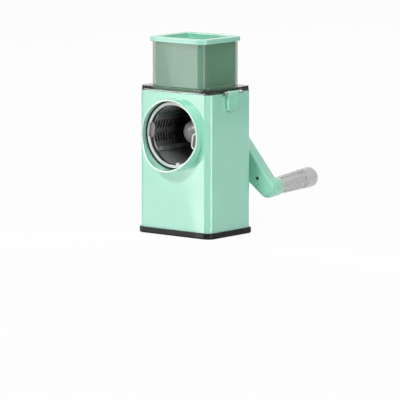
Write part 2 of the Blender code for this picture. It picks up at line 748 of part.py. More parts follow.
def drum_blade(finish, axis):
    """Sheet cylinder with rows of slots, built as a grid of cells in which each slot is a cell left out."""
    angles = []
    slotted = []
    first = SLOT_LAST_ROW - (SLOT_ROWS - 1) * SLOT_ROW_PITCH
    for row in range(SLOT_ROWS):
        centre = first + row * SLOT_ROW_PITCH
        angles += [centre - SLOT_SPAN / 2, centre + SLOT_SPAN / 2]
        slotted += [True, False]
    plain_start = SLOT_LAST_ROW + SLOT_SPAN / 2
    plain_span = 360 - (plain_start - angles[0])
    plain_cells = round(plain_span / SLOT_SPAN)
    angles += [plain_start + plain_span * i / plain_cells for i in range(1, plain_cells)]
    slotted += [False] * (plain_cells - 1)

    levels = [BLADE_FRONT]
    gaps = []
    for column in range(SLOT_COLUMNS):
        start = BLADE_FRONT + SLOT_START + column * SLOT_PITCH
        levels += [start, start + SLOT_WIDTH]
        gaps += [False, True]
    levels.append(BLADE_REAR)
    gaps.append(False)

    made = bmesh.new()
    grids = []
    for radius in (BLADE_OUTER, BLADE_INNER):
        places = [(radius * cos(radians(angle)), radius * sin(radians(angle))) for angle in angles]
        grids.append([[made.verts.new((x, y, z)) for x, z in places] for y in levels])
    outer, inner = grids
    around = len(angles)

    def is_slot(level, column):
        return 0 <= level < len(gaps) and gaps[level] and slotted[column % around]

    def wall(level_a, column_a, level_b, column_b):
        a = column_a % around
        b = column_b % around
        made.faces.new((outer[level_a][a], outer[level_b][b], inner[level_b][b], inner[level_a][a]))

    for level in range(len(gaps)):
        for column in range(around):
            after = (column + 1) % around
            if is_slot(level, column):
                if not is_slot(level, column - 1):
                    wall(level, column, level + 1, column)
                if not is_slot(level, column + 1):
                    wall(level, column + 1, level + 1, column + 1)
                wall(level, column, level, column + 1)
                wall(level + 1, column, level + 1, column + 1)
                continue
            for grid in grids:
                low = grid[level]
                high = grid[level + 1]
                made.faces.new((low[column], low[after], high[after], high[column]))
    for column in range(around):
        wall(0, column, 0, column + 1)
        wall(len(gaps), column, len(gaps), column + 1)
    return object_of("drum_blade", made, finish, axis)


def tab_outline(tip, root, half, chamfer):
    """Outline of a finger tab that points at the axis from the +X side, with its tip's corners cut off."""
    return [
        (tip, chamfer - half),
        (tip + chamfer, -half),
        (root, -half),
        (root, half),
        (tip + chamfer, half),
        (tip, half - chamfer),
    ]


def turned_outline(outline, angle):
    turn = radians(angle)
    return [(x * cos(turn) - z * sin(turn), x * sin(turn) + z * cos(turn)) for x, z in outline]


def drum_front_ring(finish, axis):
    profile = [
        (RING_BORE, RING_FRONT + RING_SLEEVE),
        (RING_BORE, RING_FRONT + RING_EDGE),
        (RING_BORE + RING_EDGE, RING_FRONT),
        (RING_RADIUS - RING_EDGE, RING_FRONT),
        (RING_RADIUS, RING_FRONT + RING_EDGE),
        (RING_RADIUS, RING_FRONT + RING_BAND),
        (BLADE_OUTER + GAP, RING_FRONT + RING_BAND),
        (BLADE_OUTER + GAP, RING_FRONT + RING_FACE),
        (BLADE_FIT, RING_FRONT + RING_FACE),
        (BLADE_FIT, RING_FRONT + RING_SLEEVE),
    ]
    ring = object_of("drum_front_ring", turned(profile, closed=True), finish, axis)
    root = (RING_BORE + BLADE_FIT) / 2
    root_corner = sqrt(root**2 - (TAB_WIDTH / 2) ** 2)
    tip = RING_BORE - TAB_REACH
    half = TAB_WIDTH / 2
    tab = tab_outline(tip, root_corner, half, TAB_CHAMFER)
    recess_half = half - TAB_FRAME
    recess_root = sqrt(RING_BORE**2 - recess_half**2)
    recess = tab_outline(tip + TAB_FRAME, recess_root, recess_half, TAB_CHAMFER - TAB_FRAME / 2)
    lug_tip = RING_BORE - LUG_REACH
    half = LUG_WIDTH / 2
    lug = [(lug_tip, -half), (root, -half), (root, half), (lug_tip, half)]
    front = RING_FRONT + RING_EDGE
    back = front + TAB_THICKNESS
    tabs = [extrude_y(turned_outline(tab, TAB_ANGLE + turn), front, back) for turn in (0, 180)]
    tabs.append(extrude_y(turned_outline(lug, LUG_ANGLE), front, back))
    boolean(ring, object_of("ring_tabs", merge(tabs), parent=axis), "UNION")
    floor = front + TAB_RECESS
    recesses = [extrude_y(turned_outline(recess, TAB_ANGLE + turn), front - GAP, floor) for turn in (0, 180)]
    return boolean(ring, object_of("tab_recesses", merge(recesses), parent=axis))


def drum_rear_hub(finish, axis):
    front = HUB_REAR - HUB_LENGTH
    profile = [(HUB_NOSE_FLAT, front - HUB_NOSE)]
    for turn in (22.5, 45, 67.5):
        profile.append((HUB_RADIUS * sin(radians(turn)), front - HUB_NOSE * cos(radians(turn))))
    profile += [
        (HUB_RADIUS, front),
        (HUB_RADIUS, BLADE_REAR - HUB_PLUG),
        (BLADE_FIT, BLADE_REAR - HUB_PLUG),
        (BLADE_FIT, HUB_FLANGE_FRONT),
        (BLADE_OUTER, HUB_FLANGE_FRONT),
        (BLADE_OUTER, HUB_REAR),
        (HUB_RADIUS, HUB_REAR),
    ]
    hub = object_of("drum_rear_hub", turned(profile), finish, axis)
    socket = rod_y(HEX_RADIUS + GAP, HUB_REAR - SHAFT_NOSE, HUB_REAR + HUB_FLANGE, HEX_SIDES)
    return boolean(hub, object_of("hex_socket", socket, parent=axis))


def seam_frame(radius, y, along, across):
    """A point on the seam: radius from the axis, and a step across it."""
    turn = radians(SEAM_ANGLE)
    x = radius * cos(turn) - across * sin(turn)
    z = radius * sin(turn) + across * cos(turn)
    return (x, y + along, z)


def seam_strip(finish, axis):
    half = SEAM_WIDTH / 2
    outer = sqrt(BLADE_FIT**2 - half**2)
    inner = outer - SEAM_THICKNESS
    start = BLADE_FRONT + SEAM_START
    rings = []
    for along in (0, SEAM_LENGTH):
        corners = ((outer, -half), (outer, half), (inner, half - SEAM_EDGE), (inner, SEAM_EDGE - half))
        rings.append([seam_frame(r, start, along, across) for r, across in corners])
    return object_of("seam_strip", loft(rings), finish, axis)


def seam_rivets(finish, axis):
    """Heads of the rivets on the strip's inner side."""
    half = SEAM_WIDTH / 2
    face = sqrt(BLADE_FIT**2 - half**2) - GAP - SEAM_THICKNESS
    start = BLADE_FRONT + SEAM_START
    for number in range(RIVETS):
        middle = SEAM_LENGTH * (number + 0.5) / RIVETS
        rings = []
        for rise, spread in RIVET_CROWN:
            level = face - rise * RIVET_HEAD
            outline = circle(spread * RIVET_RADIUS, 0, SCREW_SIDES)
            rings.append([seam_frame(level, start, middle + x, z) for x, _, z in outline])
        object_of(f"seam_rivet_{number + 1}", loft(rings), finish, axis)


def drive_shaft(finish, axis):
    hex_start = HUB_REAR - SHAFT_NOSE + 2 * GAP
    hex_end = HUB_REAR + GAP
    clip_front = BUSH_FRONT - GAP - RETAINER_THICKNESS
    groove = SHAFT_RADIUS - RETAINER_GROOVE
    profile = [
        (SHAFT_RADIUS - SHAFT_EDGE, hex_end + GAP),
        (SHAFT_RADIUS, hex_end + 2 * GAP),
        (SHAFT_RADIUS, clip_front - GAP / 2),
        (groove, clip_front - GAP / 2),
        (groove, clip_front + RETAINER_THICKNESS + GAP / 2),
        (SHAFT_RADIUS, clip_front + RETAINER_THICKNESS + GAP / 2),
        (SHAFT_RADIUS, SOCKET_FACE),
        (SQUARE_HALF, SOCKET_FACE),
        (SQUARE_HALF, SOCKET_END - GAP),
    ]
    shaft = object_of("drive_shaft", turned(profile, HUB_SIDES), finish, axis)
    nose = [
        (HEX_RADIUS - NOSE_TAPER, hex_start),
        (HEX_RADIUS, hex_start + NOSE_TAPER),
        (HEX_RADIUS, hex_end + 2 * GAP),
    ]
    boolean(shaft, object_of("shaft_nose", turned(nose, HEX_SIDES), parent=axis), "UNION")
    half = SQUARE_HALF
    tail = block((-half, SOCKET_FACE - GAP, -half), (half, SOCKET_END - GAP, half))
    boolean(shaft, object_of("shaft_tail", tail, parent=axis), "UNION")
    thread = rod_y(CRANK_SCREW_RADIUS + SCREW_CLEARANCE, SOCKET_FACE + GAP, SOCKET_END + GAP, SCREW_SIDES)
    return boolean(shaft, object_of("shaft_thread", thread, parent=axis))


def shaft_clip(finish, axis):
    """Open retaining ring in the shaft's groove, in front of the bush."""
    inner = SHAFT_RADIUS - RETAINER_GROOVE + GAP / 2
    start = BUSH_FRONT - GAP - RETAINER_THICKNESS
    steps = range(POST_SIDES + 1)
    outline = []
    for radius, order in ((RETAINER_RADIUS, steps), (inner, reversed(steps))):
        for step in order:
            angle = radians(270 + RETAINER_MOUTH / 2 + (360 - RETAINER_MOUTH) * step / POST_SIDES)
            outline.append((radius * cos(angle), radius * sin(angle)))
    return object_of("shaft_clip", extrude_y(outline, start, start + RETAINER_THICKNESS), finish, axis)


def thrust_washer(finish, axis):
    inner = SHAFT_RADIUS + GAP
    end = WASHER_FRONT + WASHER_THICKNESS
    profile = [(inner, WASHER_FRONT), (WASHER_RADIUS, WASHER_FRONT), (WASHER_RADIUS, end), (inner, end)]
    return object_of("thrust_washer", turned(profile, ROD_SIDES, closed=True), finish, axis)


def arm_outline(inset, y):
    """Outline of the arm at a depth: the hub's circle and the end's smaller one, joined by tangents."""
    hub = ARM_HUB_RADIUS - inset
    end = ARM_END_RADIUS - inset
    length = hypot(CRANK_RADIUS, ARM_END_DROP)
    dip = -asin(ARM_END_DROP / length)
    spread = asin((hub - end) / length)
    arcs = (
        ((0, 0), hub, pi / 2 - spread, 3 * pi / 2 + spread, HUB_SIDES // 2),
        ((CRANK_RADIUS, -ARM_END_DROP), end, spread - pi / 2, pi / 2 - spread, ROD_SIDES // 2),
    )
    points = []
    for centre, radius, start, stop, steps in arcs:
        for step in range(steps + 1):
            angle = dip + start + (stop - start) * step / steps
            points.append((centre[0] + radius * cos(angle), y, centre[1] + radius * sin(angle)))
    return points


def arm_place(x):
    """The middle line of the arm, at a distance x from the hub."""
    return (x, -ARM_END_DROP * x / CRANK_RADIUS)


def crank_arm(finish, axis, arm):
    middle = ARM_EDGE * (1 - sqrt(0.5))
    rounding = [(ARM_EDGE, 0), (middle, middle), (0, ARM_EDGE)]
    rings = [arm_outline(inset, y) for inset, y in rounding]
    rings += [arm_outline(inset, ARM_DEPTH - y) for inset, y in rounding[::-1]]
    made = object_of("crank_arm", loft(rings), finish, arm)
    recess = loft([arm_outline(COVER_INSET, -ARM_EDGE), arm_outline(COVER_INSET, COVER_THICKNESS + GAP)])
    boolean(made, object_of("cover_recess", recess, parent=arm))
    inside = COVER_INSET + COVER_LEDGE
    hollow = loft([arm_outline(inside, COVER_THICKNESS), arm_outline(inside, ARM_DEPTH - ARM_WALL)])
    boolean(made, object_of("arm_hollow", hollow, parent=arm))
    boss_profile = [
        (BOSS_RADIUS - BOSS_EDGE, BOSS_START),
        (BOSS_RADIUS, BOSS_START + BOSS_EDGE),
        (BOSS_RADIUS, BOSS_LENGTH - BOSS_EDGE),
        (BOSS_RADIUS - BOSS_EDGE, BOSS_LENGTH),
    ]
    end = (CRANK_RADIUS, 0)
    boolean(made, object_of("boss", turned(boss_profile, HUB_SIDES, end), parent=arm), "UNION")
    low = COVER_THICKNESS + GAP
    high = ARM_DEPTH - ARM_WALL / 2
    places = [arm_place(CRANK_RADIUS - distance) for distance in COVER_SCREW_PLACES]
    posts = [rod_y(COVER_POST_RADIUS, low, high, POST_SIDES, place) for place in places]
    boolean(made, object_of("cover_posts", merge(posts), parent=arm), "UNION")
    socket = rod_y(ARM_SOCKET_RADIUS, SOCKET_FACE, ARM_FACE + ARM_DEPTH - SOCKET_POST_SUNK, HUB_SIDES)
    boolean(made, object_of("socket_post", socket, parent=axis), "UNION")
    half = SQUARE_HALF + SQUARE_CLEARANCE
    square = block((-half, SOCKET_FACE - SOCKET_DEPTH, -half), (half, SOCKET_END, half))
    boolean(made, object_of("square_socket", square, parent=axis))
    counterbore = [
        (CRANK_SCREW_RADIUS + SCREW_CLEARANCE, SOCKET_END - GAP),
        (CRANK_SCREW_RADIUS + SCREW_CLEARANCE, WEB_END),
        (CRANK_SCREW_HEAD + 4 * GAP, WEB_END),
        (CRANK_SCREW_HEAD + 4 * GAP, WEB_END + CRANK_SCREW_HEAD_HEIGHT + 2 * GAP),
        (CAP_RADIUS + GAP, WEB_END + CRANK_SCREW_HEAD_HEIGHT + 2 * GAP),
        (CAP_RADIUS + GAP, ARM_FACE + 2 * ARM_DEPTH),
    ]
    boolean(made, object_of("screw_bore", turned(counterbore, HUB_SIDES), parent=axis))
    hole = SCREW_RADIUS + SCREW_CLEARANCE
    hole_end = COVER_SCREW_LENGTH + COVER_THICKNESS + 2 * GAP
    holes = [rod_y(hole, 0, hole_end, SCREW_SIDES, place) for place in places]
    tail = BOSS_LENGTH - GRIP_PIN_TAIL - GAP
    holes.append(rod_y(GRIP_PIN_RADIUS + GRIP_PIN_GAP, tail, BOSS_LENGTH + GAP, ROD_SIDES, end))
    return boolean(made, object_of("arm_holes", merge(holes), parent=arm))


def crank_cover(finish, axis, arm):
    inset = COVER_INSET + GAP
    rings = [arm_outline(inset + COVER_EDGE, 0), arm_outline(inset, COVER_EDGE)]
    rings.append(arm_outline(inset, COVER_THICKNESS))
    cover = object_of("crank_cover", loft(rings), finish, arm)
    hub = rod_y(ARM_SOCKET_RADIUS + GAP, REAR, ARM_FACE + ARM_DEPTH, HUB_SIDES)
    boolean(cover, object_of("cover_hub_hole", hub, parent=axis))
    shank = SCREW_RADIUS + SCREW_CLEARANCE
    profile = [
        (COVER_HOLE_RADIUS, -COVER_THICKNESS),
        (COVER_HOLE_RADIUS, COVER_THICKNESS / 2),
        (shank, COVER_THICKNESS / 2),
        (shank, 2 * COVER_THICKNESS),
    ]
    places = [arm_place(CRANK_RADIUS - distance) for distance in COVER_SCREW_PLACES]
    holes = [turned(profile, POST_SIDES, place) for place in places]
    return boolean(cover, object_of("cover_screw_holes", merge(holes), parent=arm))


def cover_screws(finish, arm):
    start = COVER_THICKNESS / 2 - GAP / 2 - COVER_HEAD_HEIGHT
    profile = turned_screw(COVER_HEAD_RADIUS, COVER_HEAD_HEIGHT, SCREW_RADIUS, COVER_SCREW_LENGTH)
    for number, distance in enumerate(COVER_SCREW_PLACES, 1):
        place = arm_place(CRANK_RADIUS - distance)
        screw = turned([(r, start + d) for r, d in profile], SCREW_SIDES, place)
        object_of(f"cover_screw_{number}", screw, finish, arm)


def crank_screw(finish, axis):
    head = WEB_END + GAP + CRANK_SCREW_HEAD_HEIGHT
    screw = turned_screw(CRANK_SCREW_HEAD, CRANK_SCREW_HEAD_HEIGHT, CRANK_SCREW_RADIUS, CRANK_SCREW_LENGTH)
    return object_of("crank_screw", turned([(r, head - d) for r, d in screw], POST_SIDES), finish, axis)


def screw_cap(finish, axis):
    start = WEB_END + CRANK_SCREW_HEAD_HEIGHT + 3 * GAP
    end = start + CAP_THICKNESS
    profile = [(CAP_RADIUS, start), (CAP_RADIUS, end - CAP_EDGE), (CAP_RADIUS - CAP_EDGE, end)]
    return object_of("screw_cap", turned(profile, HUB_SIDES), finish, axis)


def grip(finish, axis):
    """Sleeve with flutes, whose depth goes through the shares in FLUTE_PROFILE once in each flute."""
    steps = len(FLUTE_PROFILE)
    sides = steps * FLUTES
    end = GRIP_START + GRIP_LENGTH
    levels = [
        (0, GRIP_EDGE, False),
        (GRIP_EDGE, 0, False),
        (GRIP_EDGE + FLUTE_RUNOUT, 0, True),
        (GRIP_LENGTH - GRIP_EDGE - FLUTE_RUNOUT, 0, True),
        (GRIP_LENGTH - GRIP_EDGE, 0, False),
        (GRIP_LENGTH, GRIP_EDGE / 2, False),
    ]
    rings = []
    for along, bevel, fluted in levels:
        radius = GRIP_START_RADIUS + (GRIP_END_RADIUS - GRIP_START_RADIUS) * along / GRIP_LENGTH - bevel
        ring = []
        for i in range(sides):
            angle = 2 * pi * i / sides + radians(FLUTE_PHASE)
            sunk = radius - FLUTE_DEPTH * FLUTE_PROFILE[i % steps] if fluted else radius
            ring.append((sunk * cos(angle), GRIP_START + along, sunk * sin(angle)))
        rings.append(ring)
    made = object_of("grip", loft(rings), finish, axis)
    bore = rod_y(GRIP_PIN_RADIUS + GRIP_PIN_GAP, 0, 2 * end, ROD_SIDES)
    boolean(made, object_of("grip_bore", bore, parent=axis))
    seat = end - GRIP_PIN_HEAD_HEIGHT - 2 * GAP
    head = rod_y(GRIP_PIN_HEAD + GAP, seat, 2 * end, ROD_SIDES)
    return boolean(made, object_of("grip_head_seat", head, parent=axis))


def grip_cap(finish, axis):
    start = GRIP_CAP_START
    dome_start = start + GRIP_CAP_LENGTH - GRIP_DOME
    profile = [
        (GRIP_END_RADIUS - GRIP_CAP_EDGE, start),
        (GRIP_END_RADIUS, start + GRIP_CAP_EDGE),
        (GRIP_CAP_RADIUS, dome_start - GRIP_DOME),
    ]
    for turn in (0, 35, 70):
        reach = GRIP_CAP_RADIUS - GRIP_DOME * (1 - cos(radians(turn)))
        profile.append((reach, dome_start + GRIP_DOME * sin(radians(turn))))
    profile.append((GRIP_DOME_FLAT, dome_start + GRIP_DOME))
    return object_of("grip_cap", turned(profile, HUB_SIDES), finish, axis)


def grip_pin(finish, arm):
    """Shoulder screw from the boss through the grip, its head at the grip's outer end."""
    end = (CRANK_RADIUS, 0)
    head = GRIP_START + GRIP_LENGTH - GRIP_PIN_HEAD_HEIGHT - GAP
    tail = BOSS_LENGTH - GRIP_PIN_TAIL
    profile = [
        (GRIP_PIN_RADIUS - GRIP_PIN_EDGE, tail),
        (GRIP_PIN_RADIUS, tail + GRIP_PIN_EDGE),
        (GRIP_PIN_RADIUS, head),
        (GRIP_PIN_HEAD, head),
        (GRIP_PIN_HEAD, head + GRIP_PIN_HEAD_HEIGHT),
    ]
    return object_of("grip_pin", turned(profile, ROD_SIDES, end), finish, arm)


def arm_axis(parent):
    """Empty at the hub's face: its X runs along the arm, which leans away from the casing."""
    frame = empty("arm_frame", (0, ARM_FACE, 0), parent)
    turn = Matrix.Rotation(radians(-CRANK_ANGLE), 4, Vector((0, 1, 0)))
    lean = Matrix.Rotation(radians(CRANK_LEAN), 4, Vector((0, 0, 1)))
    frame.rotation_euler = (turn @ lean).to_euler()
    return frame


def main():
    clear_scene()
    mint = material("mint_plastic", (0.47, 0.83, 0.68), 0.3)
    rubber = material("black_rubber", (0.02, 0.02, 0.02), 0.45)
    smoky = material("smoky_plastic", (0.32, 0.36, 0.33), 0.1, 0.0, 0.45)
    steel = material("steel", (0.5, 0.5, 0.5), 0.3, 1.0)
    pale = material("pale_plastic", (0.8, 0.8, 0.78), 0.35)
    grey = material("grey_plastic", (0.52, 0.52, 0.51), 0.35)

    housing_shell(mint)
    drum_barrel(mint)
    barrel_screws(steel)
    rear_bush(pale)
    base_plate(mint)
    suction_foot(rubber)
    base_screws(steel)
    hopper(smoky)
    for name, side in (("right", 1), ("left", -1)):
        clip_pin(f"clip_pin_{name}", side, steel)
        clip(f"clip_{name}", side, mint)
    pusher(mint)

    drum = empty("drum_axis", (0, 0, AXIS_HEIGHT))
    drum_blade(steel, drum)
    drum_front_ring(pale, drum)
    drum_rear_hub(grey, drum)
    seam_strip(steel, drum)
    seam_rivets(steel, drum)
    drive_shaft(steel, drum)
    shaft_clip(steel, drum)
    thrust_washer(pale, drum)

    arm = arm_axis(drum)
    crank_arm(mint, drum, arm)
    crank_cover(mint, drum, arm)
    cover_screws(steel, arm)
    crank_screw(steel, drum)
    screw_cap(mint, drum)
    grip_pin(steel, arm)
    handle = empty("grip_axis", (CRANK_RADIUS, 0, 0), arm)
    grip(grey, handle)
    grip_cap(grey, handle)


main()
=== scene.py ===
"""Hand-cranked drum grater: finished surfaces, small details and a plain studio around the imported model."""

import json
from math import atan2, cos, hypot, pi, radians, sin, sqrt

import bpy
from bpy.props import FloatProperty, FloatVectorProperty, IntProperty, PointerProperty
from bpy.types import NodeSocket, Operator, Panel, PropertyGroup
from mathutils import Matrix, Vector


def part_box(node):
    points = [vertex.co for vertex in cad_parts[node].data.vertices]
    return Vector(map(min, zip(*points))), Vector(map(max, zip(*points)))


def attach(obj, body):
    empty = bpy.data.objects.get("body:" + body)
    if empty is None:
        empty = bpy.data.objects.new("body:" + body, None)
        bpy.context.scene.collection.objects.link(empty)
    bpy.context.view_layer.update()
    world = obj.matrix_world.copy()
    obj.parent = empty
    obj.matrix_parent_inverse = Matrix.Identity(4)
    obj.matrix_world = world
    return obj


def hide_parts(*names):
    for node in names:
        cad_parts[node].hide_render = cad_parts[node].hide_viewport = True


bl_info = {
    "name": "Drum Grater",
    "version": (1, 0, 0),
    "blender": (4, 5, 0),
    "location": "View3D > Sidebar > Grater",
    "description": "Models a hand-cranked drum grater piece by piece, with its finishes and studio",
    "category": "Object",
}

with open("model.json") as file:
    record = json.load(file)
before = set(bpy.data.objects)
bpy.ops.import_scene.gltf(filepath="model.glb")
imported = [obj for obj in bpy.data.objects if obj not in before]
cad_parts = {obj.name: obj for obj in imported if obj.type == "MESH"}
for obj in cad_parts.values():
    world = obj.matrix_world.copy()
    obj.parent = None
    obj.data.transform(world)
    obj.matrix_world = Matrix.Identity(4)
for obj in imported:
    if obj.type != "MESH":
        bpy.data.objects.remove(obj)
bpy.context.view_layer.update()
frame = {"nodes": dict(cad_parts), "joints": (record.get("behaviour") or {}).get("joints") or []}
NODES = frame["nodes"]
JOINTS = {joint["name"]: joint for joint in frame["joints"]}
MM = 0.001

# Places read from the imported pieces
SHELL_LOW, SHELL_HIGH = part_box("housing_shell")
FOOT_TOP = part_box("suction_foot")[1].z
HOPPER_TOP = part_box("hopper")[1].z
PUSHER_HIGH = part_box("pusher")[1]
BLADE_LOW, BLADE_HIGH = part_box("drum_blade")
RING_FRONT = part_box("drum_front_ring")[0].y
HUB_LOW, HUB_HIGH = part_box("drum_rear_hub")
DRUM_AXIS = Vector(JOINTS["crank_turn"]["pos_m"])
DRUM_AXIS.y = 0
AXIS_HEIGHT = DRUM_AXIS.z
DRUM_CENTRE = (0, AXIS_HEIGHT)
FRONT = SHELL_LOW.y
REAR = SHELL_HIGH.y
BODY_TOP = SHELL_HIGH.z
BODY = (120 * MM, REAR - FRONT)

# Room between pieces, how far cutters stand out of a face, go in or pass through, and what counts as level
GAP = 0.3 * MM
PAST = 0.01
INWARDS = 6 * MM
FAR = 0.1
TINY = 1e-6

# Depths and heights that several pieces share
BARREL_REAR = REAR - 2.8 * MM
CHUTE_LOW = 150 * MM

# Screws and pins: (x, z) at the rear, (x, y) underneath, distance from the grip, (x, z) of a clip's pin
BARREL_POSTS = ((-42.87 * MM, 108.45 * MM), (42.87 * MM, 108.45 * MM), (0, 83.7 * MM))
CORNER_POSTS = [(x, y) for x in (-53.5 * MM, 53.5 * MM) for y in (-38 * MM, 38 * MM)]
COVER_POSTS = (19.4 * MM, 66 * MM)
CLIP_PIN = (62.9 * MM, 189.6 * MM)
SHANK = 1.7 * MM
PIN_BORE = 1.07 * MM
GRIP_BORE = 3.08 * MM
KNUCKLE = 2.5 * MM

# The crank's own frame: X along the arm, Y along the grip and away from the casing
GRIP_POINT = Vector(JOINTS["grip_turn"]["pos_m"])
GRIP_AXIS = Vector(JOINTS["grip_turn"]["axis"]).normalized()
ARM_ORIGIN = Vector((0, REAR + 3.6 * MM, AXIS_HEIGHT))
ARM_REACH = (GRIP_POINT - ARM_ORIGIN) - GRIP_AXIS * (GRIP_POINT - ARM_ORIGIN).dot(GRIP_AXIS)
ARM_ALONG = ARM_REACH.normalized()
CRANK_LENGTH = ARM_REACH.length

# The mark and tone of the painted highlight along the collar's rim
RIM_HIGHLIGHT_MARK = "painted_rim_highlight"
RIM_HIGHLIGHT_TONE = (0.84, 1.0, 0.94)
# Painted shade towards the back of the drum, as (y at the start, y at the end, colour, reach from the axis)
BARREL_SHADE = (-51 * MM, -46 * MM, (0.01, 0.014, 0.012), 45.3 * MM)
DRUM_SHADE = (-42 * MM, 12 * MM, (0.025, 0.025, 0.025))
HUB_SHADE = (-12 * MM, 4 * MM, (0.01, 0.01, 0.01))
SEAM_SHADE = (-30 * MM, 20 * MM, (0.08, 0.08, 0.08))

# Lamps as (name, place, width, height, power)
WORLD_LIGHT = 0.05
FLOOR_WHITE = 0.955
AIM = Vector((0, 0, 0.13))
LAMPS = (
    ("lamp_key", (-0.15, -2.5, 1.9), 0.5, 0.5, 39),
    ("lamp_front", (1.5, -2.6, 1.6), 0.9, 0.9, 3),
    ("lamp_top", (0.1, -0.2, 2.6), 1.6, 1.6, 8),
    ("lamp_side", (2.6, -0.3, 1.5), 0.8, 1.0, 29),
    ("lamp_back", (-0.9, 2.6, 1.7), 1.4, 1.4, 24),
    ("lamp_left", (-2.6, -0.2, 1.4), 0.8, 1.0, 24),
)
# Cards on the floor as (name, height, strength, two near corners, bearings of the two long edges)
CARD_LENGTH = 3.0
CARDS = (
    ("card_front", 1.0 * MM, 3.4, (-0.09, -0.05), (0.052, -0.05), -52, -34),
    ("card_stripe", 1.6 * MM, 6.0, (0.036, -0.05), (0.051, -0.05), -41, -38),
    ("card_corner", 1.6 * MM, 6.0, (0.060, -0.047), (0.062, -0.044), 80, 104),
    ("card_black", 1.0 * MM, 0.05, (1.16, 0.73), (0.47, 1.29), 122, 160),
)
# Hanging cards as (name, strength, distance, two bearings, lower and upper edge)
HUNG_CARDS = (
    ("card_edges", 14.0, 3.0, -52, -34, 0.75, 2.3),
    ("card_above", 12.0, 3.2, -12, 24, 1.9, 3.6),
)
# The camera, fitted to the photo's edges
CAMERA_BEARING = radians(39.27)
CAMERA_RISE = radians(7.95)
CAMERA_DISTANCE = 5.35
CAMERA_LENS = 365.9
SHIFT_RIGHT = 0.0062
SHIFT_UP = 0.0865


def frame_matrix(first, second, third, origin):
    return Matrix.Translation(origin) @ Matrix((first, second, third)).transposed().to_4x4()


ARM_FRAME = frame_matrix(ARM_ALONG, GRIP_AXIS, ARM_ALONG.cross(GRIP_AXIS), ARM_ORIGIN)
DRUM_FRAME = Matrix.Translation(DRUM_AXIS)
GRIP_FRAME = ARM_FRAME @ Matrix.Translation((CRANK_LENGTH, 0, 0))


def length(name, default, description):
    """A length whose default is given in millimetres."""
    return FloatProperty(
        name=name, description=description, default=default * MM, unit="LENGTH", subtype="DISTANCE"
    )


def colour(name, default, description):
    return FloatVectorProperty(
        name=name, description=description, default=default, subtype="COLOR", size=3, min=0.0, max=1.0
    )


class GRATER_PG_casing(PropertyGroup):
    corner: length("Corner", 9, "Radius of the casing's upright corners")
    wall: length("Wall", 2.5, "Thickness of the casing's wall and deck")
    edge: length("Edge", 0.7, "Rounding of the casing's moulded edges")
    foot_proud: length("Foot stands out", 2.6, "How far the rubber foot stands out around the casing")
    keeper_width: length("Catch width", 12, "Width of the wedge that each clip hooks under")


class GRATER_PG_drum(PropertyGroup):
    bore: length("Barrel bore", 45, "Inner radius of the barrel that the drum turns in")
    barrel_wall: length("Barrel wall", 1.8, "Thickness of the barrel and its collar")
    collar_reach: length("Collar reach", 10.5, "How far the collar's upper half stands out of the casing")
    collar_lip: length("Collar lip", 10, "How much further the collar's lowest point stands out")
    lip_drop: length("Lip drop", 14, "How far below the axis the collar's lip starts")
    blade_radius: length("Blade radius", 41.5, "Inner radius of the slotted drum")
    blade_wall: length("Blade wall", 0.8, "Thickness of the slotted drum's sheet")
    rows: IntProperty(name="Slot rows", description="Rows of slots around the drum", default=12, min=1)
    columns: IntProperty(name="Slots in a row", description="Slots in each row", default=11, min=1)
    slot_width: length("Slot width", 3.5, "Width of a slot")
    slot_pitch: length("Slot pitch", 5.7, "Distance from one slot of a row to the next")
    ring_bore: length("Ring bore", 39.5, "Inner radius of the ring in the drum's mouth")
    hub_radius: length("Hub radius", 16.6, "Radius of the drum's domed hub")


class GRATER_PG_hopper(PropertyGroup):
    chute_width: length("Chute width", 88.1, "Outer width of the hopper's chute")
    chute_depth: length("Chute depth", 79, "Outer depth of the hopper's chute")
    corner: length("Chute corner", 8.1, "Radius of the chute's upright corners")
    wall: length("Chute wall", 2.4, "Thickness of the chute's wall")
    gap: length("Pusher gap", 2, "Room between the pusher and the chute")
    pusher_wall: length("Pusher wall", 2.2, "Thickness of the pusher's wall")
    rim_height: length("Rim height", 6.4, "Height of the pusher's rim")
    rim_edge: length("Rim edge", 0.9, "Rounding of the pusher's rim")


class GRATER_PG_crank(PropertyGroup):
    hub_radius: length("Hub end radius", 24, "Radius of the arm round the drum's shaft")
    end_radius: length("Outer end radius", 11.5, "Radius of the arm's end at the grip")
    depth: length("Depth", 17, "Depth of the arm")
    edge: length("Edge", 2, "Rounding of the arm's edges")
    boss_radius: length("Boss radius", 12.4, "Radius of the boss that carries the grip")
    grip_length: length("Grip length", 56.5, "Length of the grip's fluted sleeve")
    flutes: IntProperty(name="Flutes", description="Flutes round the grip", default=8, min=3)
    flute_depth: length("Flute depth", 2.5, "Depth of the grip's flutes")


class GRATER_PG_finish(PropertyGroup):
    mint: colour("Mint plastic", (0.39, 0.83, 0.65), "Colour of the casing, pusher, clips and crank")
    smoke: colour("Smoky plastic", (0.60, 0.64, 0.58), "Tint of the see-through hopper")
    steel: colour("Steel", (0.7, 0.71, 0.7), "Colour of the drum's sheet steel")
    pale: colour("Pale plastic", (0.94, 0.92, 0.92), "Colour of the drum's front ring")
    grey: colour("Grey plastic", (0.68, 0.68, 0.67), "Colour of the grip")
    hub_grey: colour("Hub grey", (0.26, 0.26, 0.26), "Colour of the drum's hub")
    # Painted shade: this grey stands in for the shade on the ring's left finger tab
    tab_painted_shade_grey: colour("Tab grey", (0.22, 0.21, 0.2), "Colour of the ring's left finger tab")
    rubber: colour("Rubber", (0.01, 0.01, 0.01), "Colour of the foot")


# Selecting and shaping

def to_object_mode():
    if bpy.context.mode != "OBJECT":
        bpy.ops.object.mode_set(mode="OBJECT")


def focus(*pieces):
    """Selects these pieces and nothing else."""
    to_object_mode()
    bpy.ops.object.select_all(action="DESELECT")
    for piece in pieces:
        piece.select_set(True)
    bpy.context.view_layer.objects.active = pieces[0]


